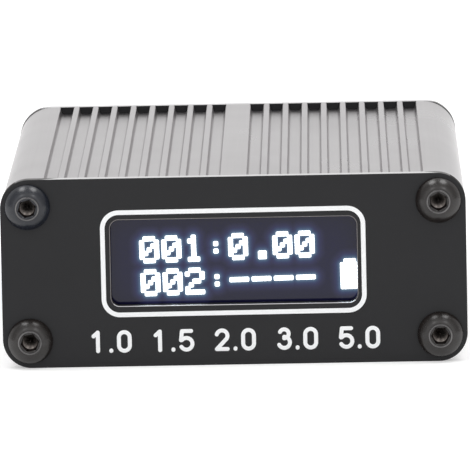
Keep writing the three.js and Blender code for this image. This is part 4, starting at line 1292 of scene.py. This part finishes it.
def shell_mesh():
    """Boss, flange with two flats, and a barrel with a real helical thread and a notched rim."""
    tip = shell_high.y
    start = sleeve_high.y
    flange_start = start - flange_thickness
    thread_start = rear_high.y
    thread_end = tip - rim_chamfer
    thread_length = thread_end - thread_start
    rows = round(thread_length / thread_pitch * rows_per_thread)
    thread = [(barrel_radius, thread_start + thread_length * i / rows) for i in range(rows + 1)]
    profile = [
        (bore_radius, shell_low.y),
        (boss_radius, shell_low.y),
        (boss_radius, flange_start),
        (flange_radius, flange_start),
        (flange_radius, start),
        (barrel_radius, start),
        *thread,
        (barrel_radius - rim_chamfer, tip),
        (bore_radius + rim_chamfer / 2, tip),
        (bore_radius, tip - rim_chamfer / 2),
        (bore_radius, shell_low.y),
    ]
    bm = turned_solid(profile, barrel_steps)
    for vert in bm.verts:
        radius = math.hypot(vert.co.x, vert.co.z)
        if radius > barrel_radius - weld_distance and vert.co.y > thread_start - weld_distance:
            turn = vert.co.y / thread_pitch + math.atan2(vert.co.z, vert.co.x) / (2 * math.pi)
            height = 2 * abs(turn % 1 - 0.5)
            run_out = min(thread_run_out, vert.co.y - thread_start, tip - vert.co.y) / thread_run_out
            share = 1 - thread_depth / barrel_radius * height * run_out
            vert.co = (vert.co.x * share, vert.co.y, vert.co.z * share)
    cutter = bmesh.new()
    reach = flange_radius + overrun
    add_cross(cutter, notch_width, reach, tip - notch_depth, tip + overrun)
    add_block(cutter, (-reach, flange_start - overrun, flange_flat), (reach, start, reach))
    add_block(cutter, (-reach, flange_start - overrun, -reach), (reach, start, -flange_flat))
    return carve(bm, cutter)


def nut_mesh():
    """A hexagon nut, turned so that two corners lie sideways. Both faces are chamfered at 30 degrees."""
    flat = nut_across_flats / 2
    land = flat - nut_land_inset
    bm = turned_solid(
        [
            (nut_bore_radius, nut_low.y + rim_chamfer),
            (nut_bore_radius + rim_chamfer, nut_low.y),
            (land, nut_low.y),
            (flat, nut_low.y),
            (flat, nut_high.y),
            (land, nut_high.y),
            (nut_bore_radius + rim_chamfer, nut_high.y),
            (nut_bore_radius, nut_high.y - rim_chamfer),
            (nut_bore_radius, nut_low.y + rim_chamfer),
        ],
        nut_steps,
    )
    middle = (nut_low.y + nut_high.y) / 2
    for vert in bm.verts:
        if abs(math.hypot(vert.co.x, vert.co.z) - flat) < weld_distance:
            reach = hexagon_reach(vert)
            slope = (flat * reach - land) * nut_chamfer_slope
            y = vert.co.y + math.copysign(slope, middle - vert.co.y)
            vert.co = (vert.co.x * reach, y, vert.co.z * reach)
    bmesh.ops.rotate(bm, verts=bm.verts[:], cent=(0, 0, 0), matrix=Matrix.Rotation(math.radians(30), 3, "Y"))
    return bm


def washer_mesh():
    """A flat ring stamped from sheet, its edges a little broken."""
    edge = washer_edge_break
    return turned_solid(
        [
            (washer_bore_radius, washer_low.y),
            (washer_radius - edge, washer_low.y),
            (washer_radius, washer_low.y + edge),
            (washer_radius, washer_high.y - edge),
            (washer_radius - edge, washer_high.y),
            (washer_bore_radius + edge, washer_high.y),
            (washer_bore_radius, washer_high.y - edge),
            (washer_bore_radius, washer_low.y),
        ],
        washer_steps,
    )


def insulator_mesh():
    """A turned sleeve of white plastic, with a raised hub round the contact."""
    edge = insulator_edge_break
    face = insulator_high.y - hub_height
    return turned_solid(
        [
            (insulator_bore_radius, insulator_low.y),
            (insulator_radius, insulator_low.y),
            (insulator_radius, face - edge),
            (insulator_radius - edge, face),
            (hub_radius + edge, face),
            (hub_radius, face + edge),
            (hub_radius, insulator_high.y - edge),
            (hub_radius - edge, insulator_high.y),
            (insulator_bore_radius + edge, insulator_high.y),
            (insulator_bore_radius, insulator_high.y - edge),
            (insulator_bore_radius, insulator_low.y),
        ],
        insulator_steps,
    )


def contact_mesh():
    """A bored pin whose mouth is slit crosswise, so that its four leaves grip the plug."""
    lip = contact_lip
    bm = turned_solid(
        [
            (0, contact_low.y),
            (pin_radius - lip, contact_low.y),
            (pin_radius, contact_low.y + lip),
            (pin_radius, insulator_low.y),
            (contact_radius, insulator_low.y),
            (contact_radius, contact_high.y - lip),
            (contact_radius - lip, contact_high.y),
            (contact_bore_radius + lip, contact_high.y),
            (contact_bore_radius, contact_high.y - lip),
            (contact_bore_radius, contact_high.y - contact_bore_depth),
            (0, contact_high.y - contact_bore_depth),
        ],
        contact_steps,
    )
    cutter = bmesh.new()
    slit_start = contact_high.y - contact_bore_depth / 2
    add_cross(cutter, contact_slit, contact_radius + overrun, slit_start, contact_high.y + overrun)
    return carve(bm, cutter)


nickel = plated("nickel_plated_brass", "#c6c1b8", "#b4aea4", 0.16, 0.3)
silver = plated("silver_plated_bronze", "#dcdad4", "#c2beb4", 0.2, 0.35)
white_ptfe = moulded("white_turned_ptfe", "#f0eee8", "#e7e4dc", 0.45, 0.4 * mm)
for part_name, make, material, slot_name in (
    ("shell", shell_mesh, nickel, "nickel"),
    ("insulator", insulator_mesh, white_ptfe, "white_insulator"),
    ("contact", contact_mesh, silver, "silver_contact"),
    ("washer", washer_mesh, nickel, "nickel"),
    ("nut", nut_mesh, nickel, "nickel"),
):
    made = make()
    for side, x in (("left", -socket_axis), ("right", socket_axis)):
        fitted = made.copy()
        bmesh.ops.translate(fitted, verts=fitted.verts[:], vec=(x, 0, socket_level))
        new_piece(
            f"{side}_coaxial_{part_name}", fitted, [material],
            stands_for=[f"{side}_socket_{part_name}"],
        )
    made.free()

# Charging socket
# A tube bent from thin sheet and nickel plated. Its black tongue carries a row of gold plated contacts on
# both faces.
charger_wall = 0.3 * mm
charger_corner_steps = 10
tongue_low, tongue_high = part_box("charging_socket_tongue")
tongue_width = 6.6 * mm
tongue_thickness = 0.7 * mm
tongue_base = 1.6 * mm
tongue_tip_break = 0.2 * mm
base_corner_share = 1 / 2.2      # of the base's height
base_corner_steps = 8
tongue_corner_steps = 3
pad_count = 12
pad_pitch = 0.5 * mm
pad_width = 0.3 * mm
pad_length = 3.4 * mm
pad_thickness = 0.03 * mm
shell = bmesh.new()
for inset in (0, charger_wall):
    rounded_rectangle(
        shell, charger_width - 2 * inset, charger_height - 2 * inset,
        charger_height / 2 - charger_wall - inset, charger_corner_steps, z=charger_level,
    )
draw_out(shell, charger_low.y, charger_high.y)
break_edges(shell, charger_high.y, charger_wall / 4)
new_piece("charger_shell", shell, [nickel], stands_for=["charging_socket_shell"])

base = bmesh.new()
base_height = tongue_high.z - tongue_low.z
rounded_rectangle(
    base, tongue_high.x - tongue_low.x, base_height, base_height * base_corner_share, base_corner_steps,
    z=charger_level,
)
draw_out(base, tongue_low.y, tongue_low.y + tongue_base)
blade = bmesh.new()
rounded_rectangle(
    blade, tongue_width, tongue_thickness, tongue_thickness / 4, tongue_corner_steps, z=charger_level,
)
draw_out(blade, tongue_low.y + tongue_base, tongue_high.y)
break_edges(blade, tongue_high.y, tongue_tip_break)
black_resin = moulded("black_moulded_resin", "#1c1c1d", "#161617", 0.45, 0.25 * mm)
new_piece("charger_base", base, [black_resin], stands_for=["charging_socket_tongue"])
new_piece("charger_tongue", blade, [black_resin])

pads = bmesh.new()
pad_end = tongue_high.y - 2 * tongue_tip_break
for i in range(pad_count):
    x = (i - (pad_count - 1) / 2) * pad_pitch
    for side in (-1, 1):
        surface = charger_level + side * tongue_thickness / 2
        bottom, top = sorted((surface, surface + side * pad_thickness))
        add_block(pads, (x - pad_width / 2, pad_end - pad_length, bottom), (x + pad_width / 2, pad_end, top))
gold = plated("gold_plated_contact", "#d8b25a", "#c39a45", 0.2, 0.3)
new_piece("charger_contacts", pads, [gold])

# Power switch
# A slide switch on the board, in a bright steel can. Its black moulded knob is ribbed for the finger and
# slides sideways in the slot of the rear plate.
rib_count = 3
rib_groove_depth = 0.2 * mm
knob_edge_break = 0.12 * mm


def knob_mesh():
    """A bar with grooves moulded across its end, and every edge of the bar broken a little."""
    bm = bmesh.new()
    add_block(bm, knob_low, knob_high)
    bmesh.ops.bevel(
        bm, geom=bm.edges[:], offset=knob_edge_break, segments=edge_break_steps, profile=0.5, affect="EDGES",
        material=-1,
    )
    groove = knob_width / (2 * rib_count + 1)
    cutter = bmesh.new()
    for i in range(rib_count):
        left = knob_low.x + (2 * i + 1) * groove
        low = (left, knob_high.y - rib_groove_depth, knob_low.z - overrun)
        add_block(cutter, low, (left + groove, knob_high.y + overrun, knob_high.z + overrun))
    return carve(bm, cutter)


dress(plated("bright_steel_can", "#b9b9b7", "#a5a5a3", 0.25, 0.4), "switch_body")
new_piece("knob", knob_mesh(), [black_resin], body="knob", stands_for=["switch_knob"])

# Studio
# A tent that is white to the camera, over a pale floor that keeps the shadow. In reflections its light
# varies from the front, behind the camera, to the rear. Two soft lamps hang overhead, and two in front.
tent_strength = 0.91
tent_levels = [    # how far to the rear a reflection looks, from -1 to 1, and the light that it meets there
    (-1.0, 0.75), (-0.9, 0.8), (-0.7, 1.4), (-0.5, 1.4), (-0.3, 0.85), (0.0, 0.45), (0.2, 0.97),
]
lamps = [          # place and size in metres, and radiance
    ((-0.42, 0.06, 1.3), 0.5, 5.5),
    ((0.42, 0.06, 1.3), 0.5, 5.5),
    ((-0.5, -0.75, 1.0), 0.35, 2.2),
    ((0.5, -0.75, 1.0), 0.35, 2.8),
]
floor_size = 12
floor_glow = 0.35
world = bpy.data.worlds.new("tent")
bpy.context.scene.world = world
world.use_nodes = True
tree = world.node_tree
rays = add_node(tree, "ShaderNodeLightPath", {})
direction = add_node(tree, "ShaderNodeTexCoord", {}).outputs["Generated"]
rearward = add_node(tree, "ShaderNodeSeparateXYZ", {"Vector": direction}).outputs["Y"]
tent_wall = colour_along(tree, rearward, [(at, (level, level, level, 1)) for at, level in tent_levels])
reflected = add_node(
    tree, "ShaderNodeMix",
    {"Factor": rays.outputs["Is Glossy Ray"], "A": (tent_strength,) * 3 + (1,), "B": tent_wall},
    data_type="RGBA",
)
seen = add_node(
    tree, "ShaderNodeMath", {0: rays.outputs["Is Camera Ray"], 1: rays.outputs["Is Transmission Ray"]},
    operation="MAXIMUM",
)
add_node(
    tree, "ShaderNodeMix",
    {"Factor": seen.outputs[0], "A": reflected.outputs["Result"], "B": linear("#ffffff")},
    [("Result", tree.nodes["Background"].inputs["Color"])], data_type="RGBA",
)
for i, (place, size, radiance) in enumerate(lamps):
    lamp = bpy.data.lights.new(f"soft_lamp_{i}", "AREA")
    lamp.shape = "DISK"
    lamp.size = size
    lamp.energy = radiance * math.pi * math.pi * (size / 2) ** 2
    hung = bpy.data.objects.new(f"soft_lamp_{i}", lamp)
    bpy.context.scene.collection.objects.link(hung)
    hung.location = place
    hung.rotation_euler = (-Vector(place)).to_track_quat("-Z", "Y").to_euler()
    hung.visible_camera = False

floor_mesh = bmesh.new()
bmesh.ops.create_grid(floor_mesh, x_segments=1, y_segments=1, size=floor_size / 2)
mesh = bpy.data.meshes.new("floor")
floor_mesh.to_mesh(mesh)
floor_mesh.free()
floor = bpy.data.objects.new("floor", mesh)
bpy.context.scene.collection.objects.link(floor)
material, tree, shader, place = new_finish("pale_floor", "#e4e4e4", 0.9, Specular_IOR_Level=0.0)
shader.inputs["Emission Color"].default_value = linear("#ffffff")
rays = add_node(tree, "ShaderNodeLightPath", {})
seen = rays.outputs["Is Camera Ray"]
for kind in ("Is Glossy Ray", "Is Transmission Ray"):
    seen = add_node(tree, "ShaderNodeMath", {0: seen, 1: rays.outputs[kind]}, operation="MAXIMUM").outputs[0]
add_node(
    tree, "ShaderNodeMath", {0: seen, 1: floor_glow}, [(0, shader.inputs["Emission Strength"])],
    operation="MULTIPLY",
)
mesh.materials.append(material)

# Camera
# A long lens about a metre away, nearly square to the front plate and looking down on the roof.
aim_right = 0.211 * mm
aim_height = 16.341 * mm
view_distance = 995 * mm
view_elevation = math.radians(8.14)
view_yaw = math.radians(-0.69)
view_roll = math.radians(-1.11)
sensor_width = 36
focal_length = 612.1
camera = bpy.data.objects.new("camera", bpy.data.cameras.new("camera"))
bpy.context.scene.collection.objects.link(camera)
camera.data.sensor_width = sensor_width
camera.data.lens = focal_length
facing = (
    Matrix.Rotation(-view_yaw, 4, "Z")
    @ Matrix.Rotation(math.radians(90) - view_elevation, 4, "X")
    @ Matrix.Rotation(view_roll, 4, "Z")
)
front_low, front_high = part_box("front_panel")
aim = Matrix.Translation((aim_right, front_low.y, aim_height))
camera.matrix_world = aim @ facing @ Matrix.Translation((0, 0, view_distance))
bpy.context.scene.camera = camera
bpy.context.scene.view_settings.view_transform = "Standard"
